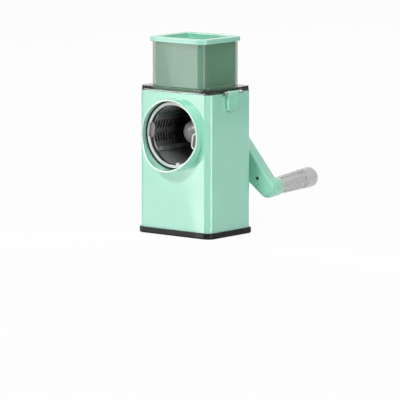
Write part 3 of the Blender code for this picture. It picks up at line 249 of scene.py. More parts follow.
def pick(piece, kind, test):
    """Opens the piece in edit mode with the faces, edges or vertices selected that pass the test."""
    focus(piece)
    mesh = piece.data
    for part in (mesh.vertices, mesh.edges, mesh.polygons):
        part.foreach_set("select", [False] * len(part))
    if kind == "FACE":
        for face in mesh.polygons:
            face.select = bool(test(face.center, face.normal))
    elif kind == "EDGE":
        for edge in mesh.edges:
            a, b = (mesh.vertices[i].co for i in edge.vertices)
            edge.select = bool(test(a, b))
    else:
        for vertex in mesh.vertices:
            vertex.select = bool(test(vertex.co))
    bpy.context.tool_settings.mesh_select_mode = (kind == "VERT", kind == "EDGE", kind == "FACE")
    bpy.ops.object.mode_set(mode="EDIT")


def everything(*_):
    return True


def select_whole_mesh():
    bpy.ops.mesh.select_all(action="SELECT")


def turn_faces_outwards():
    """Turns the open mesh's faces outwards and leaves edit mode."""
    select_whole_mesh()
    bpy.ops.mesh.normals_make_consistent(inside=False)
    to_object_mode()


def apply_place():
    bpy.ops.object.transform_apply(location=True, rotation=True, scale=True)


def shape(name, kind, scale=(1, 1, 1), **options):
    """Adds one of Blender's plain shapes, with its place in its mesh."""
    bpy.ops.object.select_all(action="DESELECT")
    getattr(bpy.ops.mesh, f"primitive_{kind}_add")(**options)
    made = bpy.context.active_object
    made.name = name
    made.data.name = name
    made.data.materials.clear()
    made.scale = scale
    apply_place()
    return made


def place(piece, matrix):
    """Moves a piece by a matrix, into its mesh."""
    focus(piece)
    piece.matrix_world = matrix @ piece.matrix_world
    apply_place()
    return piece


def block(name, low, high):
    """A box between two corners."""
    low = Vector(low)
    high = Vector(high)
    return shape(name, "cube", high - low, size=1, location=(low + high) / 2)


def round_edges(piece, test, offset, segments=4):
    pick(piece, "EDGE", test)
    bpy.ops.mesh.bevel(offset=offset, segments=segments, affect="EDGES", clamp_overlap=True)
    to_object_mode()
    return piece


def upright(a, b):
    return abs(a.x - b.x) < TINY and abs(a.y - b.y) < TINY


def at_top(level):
    """A test for edges at this height or above."""
    return lambda a, b: min(a.z, b.z) > level - TINY


def at_bottom(level):
    """A test for edges at this height or below."""
    return lambda a, b: max(a.z, b.z) < level + TINY


def within(size, inset):
    """A (width, depth) drawn in from all its sides."""
    return size[0] - 2 * inset, size[1] - 2 * inset


def rounded_block(name, size, corner, bottom, top, segments=12):
    """An upright box about the Z axis, with rounded corners."""
    width, depth = size
    made = block(name, (-width / 2, -depth / 2, bottom), (width / 2, depth / 2, top))
    return round_edges(made, upright, corner, segments)


def rod(name, radius, start, end, centre=(0.0, 0.0), sides=32, along="Y"):
    """A cylinder along one axis, about the point that the other two give."""
    middle = (start + end) / 2
    first, second = centre
    spot, turn = {
        "X": ((middle, first, second), (0, pi / 2, 0)),
        "Y": ((first, middle, second), (pi / 2, 0, 0)),
        "Z": ((first, second, middle), (0, 0, 0)),
    }[along]
    depth = end - start
    return shape(name, "cylinder", vertices=sides, radius=radius, depth=depth, location=spot, rotation=turn)


def combine(piece, tool, operation="DIFFERENCE", solver="EXACT"):
    """Joins the tool to the piece, or cuts the piece with it. The tool is used up."""
    focus(piece)
    step = piece.modifiers.new(operation.title(), "BOOLEAN")
    step.operation = operation
    step.solver = solver
    step.object = tool
    bpy.ops.object.modifier_apply(modifier=step.name)
    mesh = tool.data
    bpy.data.objects.remove(tool, do_unlink=True)
    bpy.data.meshes.remove(mesh)
    if not piece.data.polygons:
        raise RuntimeError(f"{piece.name} lost its faces")
    return piece


def drill(piece, radius, start, end, centre=(0.0, 0.0), sides=32, along="Y"):
    """Cuts a round hole."""
    return combine(piece, rod("drill", radius, start, end, centre, sides, along))


def steps(radius, start, points):
    """Profile points given in millimetres from a radius and from a place along the axis."""
    return [(radius + out * MM, start + on * MM) for out, on in points]


def lathe(name, profile, sides=64, closed=False):
    """A body turned about the Y axis from (radius, y) points, closed at both ends or on itself."""
    made = shape(name, "plane", size=0.01)
    pick(made, "VERT", everything)
    bpy.ops.mesh.merge(type="CENTER")
    start = Vector((*profile[0], 0))
    bpy.ops.transform.translate(value=start)
    last = start
    for radius, y in profile[1:]:
        point = Vector((radius, y, 0))
        bpy.ops.mesh.extrude_vertices_move(TRANSFORM_OT_translate={"value": point - last})
        last = point
    if closed:
        select_whole_mesh()
        to_object_mode()
        ends = (start, last)
        pick(made, "VERT", lambda co: any((co - end).length < 1e-7 for end in ends))
        bpy.ops.mesh.edge_face_add()
    select_whole_mesh()
    bpy.ops.mesh.spin(steps=sides, angle=2 * pi, center=(0, 0, 0), axis=(0, 1, 0))
    select_whole_mesh()
    bpy.ops.mesh.remove_doubles(threshold=TINY)
    if not closed:
        bpy.ops.mesh.select_all(action="DESELECT")
        bpy.ops.mesh.select_non_manifold()
        bpy.ops.mesh.edge_face_add()
    turn_faces_outwards()
    return made


def prism(name, outline, start, end):
    """An outline in (x, z) extruded along Y: a circle's points are moved to it one by one."""
    turn = (pi / 2, 0, 0)
    made = shape(name, "circle", vertices=len(outline), radius=0.01, fill_type="NGON", rotation=turn)
    for vertex, (x, z) in zip(made.data.vertices, outline):
        vertex.co = (x, start, z)
    pick(made, "FACE", everything)
    bpy.ops.mesh.extrude_region_move(TRANSFORM_OT_translate={"value": (0, end - start, 0)})
    turn_faces_outwards()
    return made


def copy_of(piece, name, matrix=Matrix.Identity(4)):
    focus(piece)
    bpy.ops.object.duplicate(linked=False)
    made = bpy.context.active_object
    made.name = name
    made.data.name = name
    return place(made, matrix)


def join(pieces):
    focus(*pieces)
    bpy.ops.object.join()
    return pieces[0]


def mirrored(piece):
    place(piece, Matrix.Scale(-1, 4, (1, 0, 0)))
    pick(piece, "FACE", everything)
    turn_faces_outwards()
    return piece


def finish(piece, look, slot, body, *nodes, angle=35):
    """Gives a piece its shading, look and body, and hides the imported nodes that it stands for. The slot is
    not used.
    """
    focus(piece)
    bpy.ops.object.shade_smooth_by_angle(angle=radians(angle))
    weights = piece.modifiers.new("Weighted normals", "WEIGHTED_NORMAL")
    weights.keep_sharp = True
    bpy.ops.object.modifier_apply(modifier=weights.name)
    piece.data.materials.clear()
    piece.data.materials.append(looks()[look])
    if nodes:
        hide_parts(*nodes)
    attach(piece, body)
    return piece


# Looks

def feed(tree, node, values):
    """Gives the named inputs of a node their values, or links them to the outputs of other nodes."""
    for name, value in values.items():
        if isinstance(value, NodeSocket):
            tree.links.new(value, node.inputs[name])
        else:
            node.inputs[name].default_value = value


def add_node(tree, kind, values, **settings):
    made = tree.nodes.new(f"ShaderNode{kind}")
    for name, value in settings.items():
        setattr(made, name, value)
    feed(tree, made, values)
    return made


def material(name, recipe, *values):
    """A material whose shader gets the inputs that a recipe works out."""
    made = bpy.data.materials.new(name)
    made.use_nodes = True
    tree = made.node_tree
    feed(tree, tree.nodes["Principled BSDF"], recipe(tree, *values))
    return made


def object_noise(tree, scale, detail=3.0, roughness=0.5, stretch=(1, 1, 1)):
    """Noise in the piece's own metres, so its grain keeps its size."""
    spot = add_node(tree, "TexCoord", {}).outputs["Object"]
    mapping = add_node(tree, "Mapping", {"Vector": spot, "Scale": stretch})
    values = {"Vector": mapping.outputs["Vector"], "Scale": scale, "Detail": detail, "Roughness": roughness}
    return add_node(tree, "TexNoise", values).outputs["Fac"]


def spread(tree, source, low, high, first=0.3, last=0.7):
    """Turns a value between two ends into a range of its own."""
    values = {"Value": source, "From Min": first, "From Max": last, "To Min": low, "To Max": high}
    return add_node(tree, "MapRange", values).outputs["Result"]


def blend(tree, share, first, second):
    """Mixes two colours by a share from 0 to 1."""
    values = {"Factor": share, "A": first, "B": second}
    return add_node(tree, "Mix", values, data_type="RGBA").outputs["Result"]


def clouded(tree, source, tone, low, high):
    """A tone that noise makes a little darker in one place and lighter in another."""
    darker = [value * low for value in tone]
    lighter = [min(1.0, value * high) for value in tone]
    return blend(tree, spread(tree, source, 0, 1), (*darker, 1), (*lighter, 1))


def bump(tree, source, strength, distance):
    values = {"Height": source, "Strength": strength, "Distance": distance}
    return add_node(tree, "Bump", values).outputs["Normal"]


def worked_out(tree, operation, first, second):
    """One sum of two numbers."""
    return add_node(tree, "Math", {0: first, 1: second}, operation=operation).outputs[0]


def axis_distance(tree, source):
    """How far a point is from the drum's axis."""
    centred = add_node(tree, "VectorMath", {0: source, 1: (0, 0, AXIS_HEIGHT)}, operation="SUBTRACT")
    flat = add_node(tree, "VectorMath", {0: centred.outputs["Vector"], 1: (1, 0, 1)}, operation="MULTIPLY")
    return add_node(tree, "VectorMath", {0: flat.outputs["Vector"]}, operation="LENGTH").outputs["Value"]


def painted_back_shade(tree, tone, first, last, shade_tone, reach=None):
    """Darkens a colour towards the back of the drum: painted shade."""
    spot = add_node(tree, "TexCoord", {}).outputs["Object"]
    depth = add_node(tree, "SeparateXYZ", {"Vector": spot}).outputs["Y"]
    share = spread(tree, depth, 0, 1, first, last)
    if reach:
        inner = spread(tree, axis_distance(tree, spot), 1, 0, reach, reach + 0.3 * MM)
        share = worked_out(tree, "MULTIPLY", inner, share)
    return blend(tree, share, tone, (*shade_tone, 1))


def moulded_plastic(tree, tone, roughness, drift=0.03, coat=0.0, depth=None, rim=False):
    """Moulded plastic: faint cloudiness from the flow of the melt, a fine satin grain and handling marks."""
    mixed = clouded(tree, object_noise(tree, 28, 4), tone, 1 - drift, 1 + drift)
    # Painted shade: darker towards the back of the drum
    if depth:
        mixed = painted_back_shade(tree, mixed, *depth)
    # Painted highlight: a marked rim is mixed towards a near-white tone
    if rim:
        mark = add_node(tree, "Attribute", {}, attribute_name=RIM_HIGHLIGHT_MARK)
        mixed = blend(tree, mark.outputs["Fac"], mixed, (*RIM_HIGHLIGHT_TONE, 1))
    marks = object_noise(tree, 160, 6, 0.62)
    return {
        "Base Color": mixed,
        "Roughness": spread(tree, marks, roughness * 0.85, roughness * 1.2),
        "Normal": bump(tree, object_noise(tree, 2600, 2), 0.06, 0.00003),
        "IOR": 1.49,
        "Coat Weight": coat,
        "Coat Roughness": 0.06,
    }


def smoky_clear(tree, tone):
    """Clear smoky plastic, with faint flow lines and handling haze."""
    flow = object_noise(tree, 30, 1, 0.4, (1, 1, 0.3))
    depth = add_node(tree, "VolumeAbsorption", {"Color": (0.32, 0.36, 0.30, 1), "Density": 65})
    feed(tree, tree.nodes["Material Output"], {"Volume": depth.outputs["Volume"]})
    return {
        "Base Color": clouded(tree, object_noise(tree, 18, 3), tone, 0.97, 1),
        "Roughness": spread(tree, object_noise(tree, 90, 5), 0.02, 0.07),
        "Normal": bump(tree, flow, 0.15, 0.0002),
        "Transmission Weight": 1.0,
        "IOR": 1.45,
    }


def rolled_steel(tree, tone, roughness, depth=None):
    """Sheet steel with fine rolling lines round the drum and small scratches."""
    lines = object_noise(tree, 900, 2, 0.5, (0.03, 1, 0.03))
    mixed = clouded(tree, object_noise(tree, 70, 4), tone, 0.9, 1.06)
    # Painted shade: darker towards the back of the drum
    if depth:
        mixed = painted_back_shade(tree, mixed, *depth)
    return {
        "Base Color": mixed,
        "Roughness": spread(tree, lines, roughness * 0.8, roughness * 1.25),
        "Normal": bump(tree, lines, 0.2, 0.00004),
        "Metallic": 0.3 if depth else 1.0,
    }


def satin_rubber(tree, tone):
    cloud = object_noise(tree, 60, 4)
    return {
        "Base Color": clouded(tree, cloud, tone, 0.8, 1.4),
        "Roughness": spread(tree, cloud, 0.24, 0.34),
        "Normal": bump(tree, object_noise(tree, 1800, 3), 0.1, 0.00006),
        "Specular IOR Level": 0.13,
    }


def looks():
    """The object's materials, made once: plastics as (tone, roughness, drift, coat, painted shade, painted
    rim highlight), steels as (tone, roughness, painted shade)."""
    tones = bpy.context.scene.grater_finish
    recipes = {
        "mint_plastic": (moulded_plastic, tones.mint, 0.13, 0.015, 0.4),
        # The barrel's plastic carries painted shade in its bore and a painted highlight on its rim
        "barrel_plastic_painted_shade_and_highlight": (moulded_plastic, tones.mint, 0.13, 0.015, 0.4, BARREL_SHADE, True),
        "smoky_plastic": (smoky_clear, tones.smoke),
        # The drum's steel and the hub are darker towards the back: painted shade
        "drum_steel_painted_shade": (rolled_steel, tones.steel, 0.45, DRUM_SHADE),
        "hub_plastic_painted_shade": (moulded_plastic, tones.hub_grey, 0.36, 0.02, 0.1, HUB_SHADE),
        # Painted shade for the ring's tabs: grey on the left tab, near black on the right
        "tab_painted_shade_grey": (moulded_plastic, tones.tab_painted_shade_grey, 0.3, 0.02),
        "tab_painted_shade_dark": (moulded_plastic, (0.09, 0.09, 0.09), 0.3, 0.02),
        "sleeve_grey": (moulded_plastic, (0.1, 0.1, 0.1), 0.35),
        # The seam strip is darker towards the back: painted shade
        "seam_steel_painted_shade": (rolled_steel, (0.85, 0.86, 0.86), 0.35, SEAM_SHADE),
        "screw_steel": (rolled_steel, (0.7, 0.71, 0.71), 0.24),
        "dark_screw_steel": (rolled_steel, (0.06, 0.06, 0.06), 0.35),
        "pale_plastic": (moulded_plastic, tones.pale, 0.22, 0.02),
        "grey_plastic": (moulded_plastic, tones.grey, 0.28, 0.02),
        "black_rubber": (satin_rubber, tones.rubber),
    }
    made = {}
    for name, recipe in recipes.items():
        full_name = f"grater_{name}"
        made[name] = bpy.data.materials.get(full_name) or material(full_name, *recipe)
    return made


def dress_node(node, look):
    """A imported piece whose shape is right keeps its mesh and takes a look."""
    piece = NODES[node]
    material = looks()[look]
    if piece.data.materials:
        for slot in piece.material_slots:
            slot.material = material
    else:
        piece.data.materials.append(material)


# Stage

def floor_card(name, height, strength, first, second, first_bearing, second_bearing):
    """A bright or black card on the floor that only mirrors see: it draws upright gleams on the casing."""
    card = shape(name, "plane", size=1)
    corners = [first, second]
    for (x, y), bearing in ((second, radians(second_bearing)), (first, radians(first_bearing))):
        corners.append((x + CARD_LENGTH * sin(bearing), y - CARD_LENGTH * cos(bearing)))
    for index, (x, y) in zip((0, 1, 3, 2), corners):
        card.data.vertices[index].co = (x, y, height)
    only_mirrored(card, strength)


def hung_card(name, strength, distance, first_bearing, second_bearing, low, high):
    """A bright upright card that only mirrors see: it draws the gleams along the front's sloping edges."""
    card = shape(name, "plane", size=1)
    places = ((first_bearing, low), (second_bearing, low), (first_bearing, high), (second_bearing, high))
    for vertex, (bearing, height) in zip(card.data.vertices, places):
        turn = radians(bearing)
        vertex.co = (distance * sin(turn), -distance * cos(turn), height)
    only_mirrored(card, strength)


def white_glow(tree, strength):
    return {
        "Base Color": (0, 0, 0, 1),
        "Specular IOR Level": 0,
        "Emission Color": (1, 1, 1, 1),
        "Emission Strength": strength,
    }


def only_mirrored(card, strength):
    """Makes a card glow, seen by mirrored rays alone."""
    card.data.materials.append(material(card.name, white_glow, strength))
    card.visible_camera = False
    card.visible_diffuse = False
    card.visible_transmission = False
    card.visible_shadow = False


def seen_share(tree):
    """1 for rays from the camera and for those mirrored or bent by the object, else 0."""
    path = add_node(tree, "LightPath", {}).outputs
    seen = path["Is Camera Ray"]
    for ray in ("Is Glossy Ray", "Is Transmission Ray"):
        seen = worked_out(tree, "MAXIMUM", seen, path[ray])
    return seen


def white_around(tree):
    """The air lights the object softly, and is white where it is seen or mirrored."""
    strength = spread(tree, seen_share(tree), WORLD_LIGHT, 1.0, 0, 1)
    feed(tree, tree.nodes["Background"], {"Color": (1, 1, 1, 1), "Strength": strength})


def white_seen(tree):
    """The pale floor is white where it is seen or mirrored, but for the object's shadow."""
    plain = tree.nodes["Principled BSDF"].outputs["BSDF"]
    glow = add_node(tree, "Emission", {"Strength": 1.0}).outputs["Emission"]
    share = worked_out(tree, "MULTIPLY", seen_share(tree), FLOOR_WHITE)
    both = add_node(tree, "MixShader", {"Fac": share, 1: plain, 2: glow})
    feed(tree, tree.nodes["Material Output"], {"Surface": both.outputs["Shader"]})
    return {"Base Color": (0.8, 0.8, 0.8, 1), "Roughness": 0.9, "Specular IOR Level": 0.1}


class PieceOperator:
    bl_options = {"REGISTER", "UNDO"}


class GRATER_OT_stage(PieceOperator, Operator):
    """Pale floor and backdrop, soft lamps and the camera"""

    bl_idname = "grater.stage"
    bl_label = "Stage"

    def execute(self, context):
        scene = context.scene
        scene.view_settings.view_transform = "Standard"
        floor = shape("studio_floor", "plane", (16, 26, 1), size=1, location=(0, 4, 0))
        pick(floor, "EDGE", lambda a, b: min(a.y, b.y) > 1)
        bpy.ops.mesh.extrude_region_move(TRANSFORM_OT_translate={"value": (0, 0, 7)})
        to_object_mode()
        round_edges(floor, lambda a, b: min(a.y, b.y) > 1 and max(a.z, b.z) < 1, 2.5, 12)
        focus(floor)
        bpy.ops.object.shade_smooth()
        floor.data.materials.append(material("studio_floor", white_seen))
        scene.world = bpy.data.worlds.new("studio_air")
        scene.world.use_nodes = True
        white_around(scene.world.node_tree)
        for name, spot, width, height, power in LAMPS:
            bpy.ops.object.select_all(action="DESELECT")
            bpy.ops.object.light_add(type="AREA", location=spot)
            lamp = context.active_object
            lamp.name = name
            lamp.data.name = name
            lamp.data.shape = "RECTANGLE"
            lamp.data.size = width
            lamp.data.size_y = height
            lamp.data.energy = power
            lamp.visible_glossy = name != "lamp_back"
            lamp.rotation_euler = (AIM - Vector(spot)).to_track_quat("-Z", "Y").to_euler()
        for card in CARDS:
            floor_card(*card)
        for card in HUNG_CARDS:
            hung_card(*card)
        flat = cos(CAMERA_RISE)
        back = Vector((sin(CAMERA_BEARING) * flat, -cos(CAMERA_BEARING) * flat, sin(CAMERA_RISE)))
        right = Vector((cos(CAMERA_BEARING), sin(CAMERA_BEARING), 0))
        above = back.cross(right)
        target = AIM + SHIFT_RIGHT * right - SHIFT_UP * above
        bpy.ops.object.select_all(action="DESELECT")
        bpy.ops.object.camera_add()
        camera = context.active_object
        camera.name = "studio_camera"
        camera.matrix_world = frame_matrix(right, above, back, target + back * CAMERA_DISTANCE)
        camera.data.lens = CAMERA_LENS
        camera.data.sensor_width = 36
        camera.data.clip_end = 60
        scene.camera = camera
        return {"FINISHED"}


# Casing, collar and foot

def chute_size(hopper):
    return hopper.chute_width, hopper.chute_depth


class GRATER_OT_casing(PieceOperator, Operator):
    """Square casing with its outlet hole, deck, bearing hole and clip catches"""

    bl_idname = "grater.casing"
    bl_label = "Casing"

    def execute(self, context):
        sizes = context.scene.grater_casing
        drum = context.scene.grater_drum
        hopper = context.scene.grater_hopper
        wall = sizes.wall
        corner = sizes.corner
        shell = rounded_block("casing", BODY, corner, SHELL_LOW.z, BODY_TOP)
        round_edges(shell, at_top(BODY_TOP), sizes.edge)
        room_low = SHELL_LOW.z - PAST
        combine(shell, rounded_block("room", within(BODY, wall), corner - wall, room_low, BODY_TOP - wall, 8))
        opening = within(chute_size(hopper), -GAP)
        corner = hopper.corner + GAP
        combine(shell, rounded_block("deck_opening", opening, corner, BODY_TOP - PAST, BODY_TOP + PAST, 8))
        half = sizes.keeper_width / 2
        for side in (1, -1):
            keeper = block("keeper", (59 * MM, -half, 170.8 * MM), (62.3 * MM, half, 175.6 * MM))
            pick(keeper, "VERT", lambda co: co.x > 60 * MM and co.z > 172 * MM)
            bpy.ops.transform.translate(value=(0, 0, -1.6 * MM))
            to_object_mode()
            round_edges(keeper, lambda a, b: min(a.x, b.x) > 60 * MM, 0.3 * MM, 2)
            if side < 0:
                mirrored(keeper)
            combine(shell, keeper, "UNION")
        for spot in CORNER_POSTS:
            combine(shell, rod("post", 4.5 * MM, 6.7 * MM, 24 * MM, spot, 24, "Z"), "UNION")
        outside = REAR + PAST
        drill(shell, drum.bore + drum.barrel_wall + GAP, FRONT - PAST, FRONT + INWARDS, DRUM_CENTRE, 144)
        drill(shell, 8.3 * MM, REAR - INWARDS, outside, DRUM_CENTRE, 48)
        for spot in BARREL_POSTS:
            drill(shell, 3.3 * MM, REAR - 1.5 * MM, outside, spot)
            drill(shell, SHANK, REAR - INWARDS, outside, spot, 24)
        finish(shell, "mint_plastic", "mint_plastic", "housing", "housing_shell")
        return {"FINISHED"}


class GRATER_OT_collar(PieceOperator, Operator):
    """Barrel of the drum, whose front end is the outlet's slanting collar"""

    bl_idname = "grater.collar"
    bl_label = "Barrel and collar"

    def execute(self, context):
        drum = context.scene.grater_drum
        hopper = context.scene.grater_hopper
        inner = drum.bore
        outer = inner + drum.barrel_wall
        skirt = outer + 0.8 * MM
        shoulder = FRONT - 0.1 * MM
        level = FRONT - drum.collar_reach
        half = (skirt - inner) / 2
        profile = [(inner, BARREL_REAR), (inner, level + half)]
        for step in range(1, 8):
            turn = pi * step / 8
            profile.append((inner + half - half * cos(turn), level + half - half * sin(turn)))
        profile += [(skirt, level + half), (skirt, shoulder), (outer, shoulder), (outer, BARREL_REAR)]
        barrel = lathe("collar", profile, 144, closed=True)
        # The collar's rim is marked for a painted highlight, a near-white tone in its material
        highlight_marks = barrel.data.attributes.new(RIM_HIGHLIGHT_MARK, "FLOAT", "POINT")
        rim_end = level + half * (1 - sin(radians(35)))
        highlight_marks.data.foreach_set("value", [1.0 if v.co.y < rim_end else 0.0 for v in barrel.data.vertices])
        start = drum.lip_drop / outer
        for vertex in barrel.data.vertices:
            x, y, z = vertex.co
            below = max(0.0, -z / hypot(x, z) - start) / (1 - start)
            if y < level + 2 * half:
                vertex.co.y -= drum.collar_lip * below
        place(barrel, DRUM_FRAME)
        for spot in BARREL_POSTS:
            combine(barrel, rod("post", 4 * MM, 29.2 * MM, BARREL_REAR - GAP, spot, 24), "UNION")
            drill(barrel, SHANK, 29 * MM, BARREL_REAR + 0.001, spot, 24)
        window = within(chute_size(hopper), hopper.wall + GAP)
        corner = hopper.corner - hopper.wall
        combine(barrel, rounded_block("feed_window", window, corner, 145 * MM, BODY_TOP, 8))
        finish(barrel, "barrel_plastic_painted_shade_and_highlight", "mint_plastic", "housing", "drum_barrel")
        return {"FINISHED"}


class GRATER_OT_foot(PieceOperator, Operator):
    """Rubber foot that wraps the casing's lower edge, grooved underneath"""

    bl_idname = "grater.foot"
    bl_label = "Rubber foot"

    def execute(self, context):
        sizes = context.scene.grater_casing
        size = within(BODY, -sizes.foot_proud)
        corner = sizes.corner + sizes.foot_proud
        foot = rounded_block("rubber_foot", size, corner, 0, FOOT_TOP)
        round_edges(foot, at_bottom(0), 1.6 * MM, 5)
        round_edges(foot, at_top(FOOT_TOP), 0.9 * MM)
        combine(foot, rounded_block("pocket", within(BODY, -GAP), sizes.corner + GAP, 3.6 * MM, 0.02))
        groove = rounded_block("groove", within(size, 15 * MM), corner, -0.001, 1.2 * MM, 8)
        combine(groove, rounded_block("island", within(size, 19 * MM), corner - 4 * MM, -0.002, 0.003, 8))
        combine(foot, groove)
        for spot in CORNER_POSTS:
            drill(foot, 4.3 * MM, -0.002, 2.5 * MM, spot, 32, "Z")
            drill(foot, SHANK, 0.001, 0.006, spot, 16, "Z")
        finish(foot, "black_rubber", "black_rubber", "housing", "suction_foot")
        return {"FINISHED"}


# Hopper, pusher and clips

class GRATER_OT_hopper(PieceOperator, Operator):
    """See-through hopper: flange, square chute, skirt and the knuckles of the clips"""

    bl_idname = "grater.hopper"
    bl_label = "Hopper"

    def execute(self, context):
        casing = context.scene.grater_casing
        drum = context.scene.grater_drum
        sizes = context.scene.grater_hopper
        bottom = BODY_TOP + GAP
        top = bottom + 6.1 * MM
        lip = 2.2 * MM
        inset = 0.8 * MM
        body = rounded_block("smoky_hopper", within(BODY, inset), casing.corner - inset, bottom, top)
        round_edges(body, at_top(top), 0.6 * MM, 3)
        band = rounded_block("band", BODY, casing.corner, bottom, bottom + lip)
        pick(band, "VERT", lambda co: co.z > bottom + lip / 2)
        bpy.ops.transform.resize(value=(*(1 - 2.1 * inset / side for side in BODY), 1))
        to_object_mode()
        combine(body, band, "UNION")
        chute = chute_size(sizes)
        combine(body, rounded_block("chute", chute, sizes.corner, CHUTE_LOW, HOPPER_TOP), "UNION")
        combine(body, rounded_block("inner", within(chute, sizes.wall), sizes.corner - sizes.wall, 0.1, 0.3))
        pin_x, pin_z = CLIP_PIN
        for side in (1, -1):
            for end in (1, -1):
                near, far = sorted((end * 11.2 * MM, end * 18.4 * MM))
                knuckle = rod("knuckle", KNUCKLE, near, far, CLIP_PIN)
                root = block("root", (58 * MM, near, 189.5 * MM), (pin_x, far, 192.1 * MM))
                combine(knuckle, root, "UNION")
                if side < 0:
                    mirrored(knuckle)
                combine(body, knuckle, "UNION")
        drill(body, drum.bore + drum.barrel_wall + GAP, -FAR, FAR, DRUM_CENTRE, 144)
        for side in (1, -1):
            drill(body, PIN_BORE, -0.04, 0.04, (side * pin_x, pin_z), 24)
        finish(body, "smoky_plastic", "smoky_plastic", "housing", "hopper")
        return {"FINISHED"}


class GRATER_OT_pusher(PieceOperator, Operator):
    """Open-topped pusher with a rounded rim and an arched floor"""

    bl_idname = "grater.pusher"
    bl_label = "Pusher"

    def execute(self, context):
        sizes = context.scene.grater_hopper
        wall = sizes.pusher_wall
        size = within(chute_size(sizes), sizes.wall + sizes.gap)
        corner = sizes.corner - sizes.wall - sizes.gap
        top = PUSHER_HIGH.z
        rim_bottom = top - sizes.rim_height
        rim = (PUSHER_HIGH.x * 2, PUSHER_HIGH.y * 2)
        body = rounded_block("pusher_body", rim, sizes.corner + 3.25 * MM, rim_bottom, top)
        rim_tests = (at_top(top), at_bottom(rim_bottom))
        round_edges(body, lambda a, b: any(test(a, b) for test in rim_tests), sizes.rim_edge, 5)
        combine(body, rounded_block("box", size, corner, CHUTE_LOW, top - 0.002, 8), "UNION")
        arch = 46.93 * MM
        mouth = within(size, wall)
        well = rounded_block("well", mouth, corner - 0.0005, CHUTE_LOW, top + PAST, 8)
        drill(well, arch + wall, -FAR, FAR, DRUM_CENTRE, 144)
        combine(body, well)
        drill(body, arch, -FAR, FAR, DRUM_CENTRE, 144)
        reach = [side / 2 + 1e-5 for side in mouth]

        def mouth_edge(a, b):
            inside = all(abs(p.x) < reach[0] and abs(p.y) < reach[1] for p in (a, b))
            return rim_tests[0](a, b) and inside

        round_edges(body, mouth_edge, 1.2 * MM)
        finish(body, "mint_plastic", "mint_plastic", "pusher", "pusher")
        return {"FINISHED"}


class GRATER_OT_clips(PieceOperator, Operator):
    """The two flap clips, hanging from their pins"""

    bl_idname = "grater.clips"
    bl_label = "Clips"

    def execute(self, context):
        pin = Vector(JOINTS["clip_right_swing"]["pos_m"])
        half = 10.8 * MM
        drop = 24.3 * MM
        face = 2.4 * MM
        rim = 2.4 * MM
        corner = 6 * MM
        neck = -3.7 * MM
        panel = block("clip_flap_right", (-1.6 * MM, -half, -drop), (face, half, 0))

        def lower_corner(a, b):
            return abs(a.y - b.y) < TINY and max(a.z, b.z) < -drop + 1e-5 and abs(a.x - b.x) > 1e-4

        def upper_rim(co):
            return co.x > 2.3 * MM and abs(co.y) < half - 1 * MM and -2.5 * MM < co.z < -0.5 * MM

        def recess(centre, normal):
            return normal.x > 0.9 and abs(centre.y) < 1 * MM and rim - drop < centre.z < neck

        def at_border(p):
            y = abs(p.y) - (half - corner)
            z = p.z - (corner - drop)
            if y < 0:
                rounded = p.z < -drop + 1e-5
            else:
                rounded = hypot(y, z) > 5.9 * MM
            return abs(p.y) > half - 1e-5 or p.z < -drop + 6.1 * MM and rounded

        round_edges(panel, lower_corner, corner, 10)
        pick(panel, "FACE", lambda centre, normal: normal.x > 0.9)
        bpy.ops.mesh.inset(thickness=rim, depth=0)
        to_object_mode()
        pick(panel, "VERT", upper_rim)
        bpy.ops.transform.translate(value=(0, 0, neck + rim))
        to_object_mode()
        pick(panel, "FACE", recess)
        bpy.ops.mesh.extrude_region_move(TRANSFORM_OT_translate={"value": (-2.0 * MM, 0, 0)})
        bpy.ops.transform.resize(value=(1, 0.84, 0.84))
        to_object_mode()
        round_edges(panel, lambda a, b: all(p.x > 2.35 * MM and at_border(p) for p in (a, b)), 0.9 * MM)
        combine(panel, rod("barrel", KNUCKLE, -half, half), "UNION")
        combine(panel, block("catch", (-3.2 * MM, -6.3 * MM, -19.1 * MM), (-0.3 * MM, 6.3 * MM, -13.3 * MM)))
        drill(panel, PIN_BORE, -0.02, 0.02, sides=24)
        left = copy_of(panel, "clip_flap_left")
        mirrored(left)
        place(panel, Matrix.Translation(pin))
        place(left, Matrix.Translation((-pin.x, pin.y, pin.z)))
        finish(panel, "mint_plastic", "mint_plastic", "clip_right", "clip_right")
        finish(left, "mint_plastic", "mint_plastic", "clip_left", "clip_left")
        return {"FINISHED"}


# Drum

class GRATER_OT_blade(PieceOperator, Operator):
    """Slotted steel drum"""

    bl_idname = "grater.blade"
    bl_label = "Slotted drum"

    def execute(self, context):
        drum = context.scene.grater_drum
        start = BLADE_LOW.y
        end = BLADE_HIGH.y
        inner = drum.blade_radius
        outer = inner + drum.blade_wall
        wall = [(inner, start), (outer, start), (outer, end), (inner, end)]
        tube = lathe("slotted_drum", wall, 180, closed=True)
        half = drum.slot_width / 2
        reach = outer * radians(16.4) / 2 - half
        low = inner - 0.004
        high = outer + 0.004
        cutter = block("slot", (low, -half, -reach), (high, half, reach))
        for z in (-reach, reach):
            combine(cutter, rod("slot_end", half, low, high, (0, z), 16, "X"), "UNION")
        cutters = []
        for row in range(drum.rows):
            angle = radians(189.8 - 23.2 * row)
            for column in range(drum.columns):
                y = start + 9.2 * MM + column * drum.slot_pitch + half
                turn = Matrix.Rotation(-angle, 4, "Y") @ Matrix.Translation((0, y, 0))
                cutters.append(copy_of(cutter, f"slot_{row}_{column}", turn))
        bpy.data.objects.remove(cutter, do_unlink=True)
        combine(tube, join(cutters))
        place(tube, DRUM_FRAME)
        finish(tube, "drum_steel_painted_shade", "steel", "drum", "drum_blade")
        return {"FINISHED"}


def tab_outline(tip, root, half, chamfer):
    return [
        (tip, chamfer - half),
        (tip + chamfer, -half),
        (root, -half),
        (root, half),
        (tip + chamfer, half),
        (tip, half - chamfer),
    ]


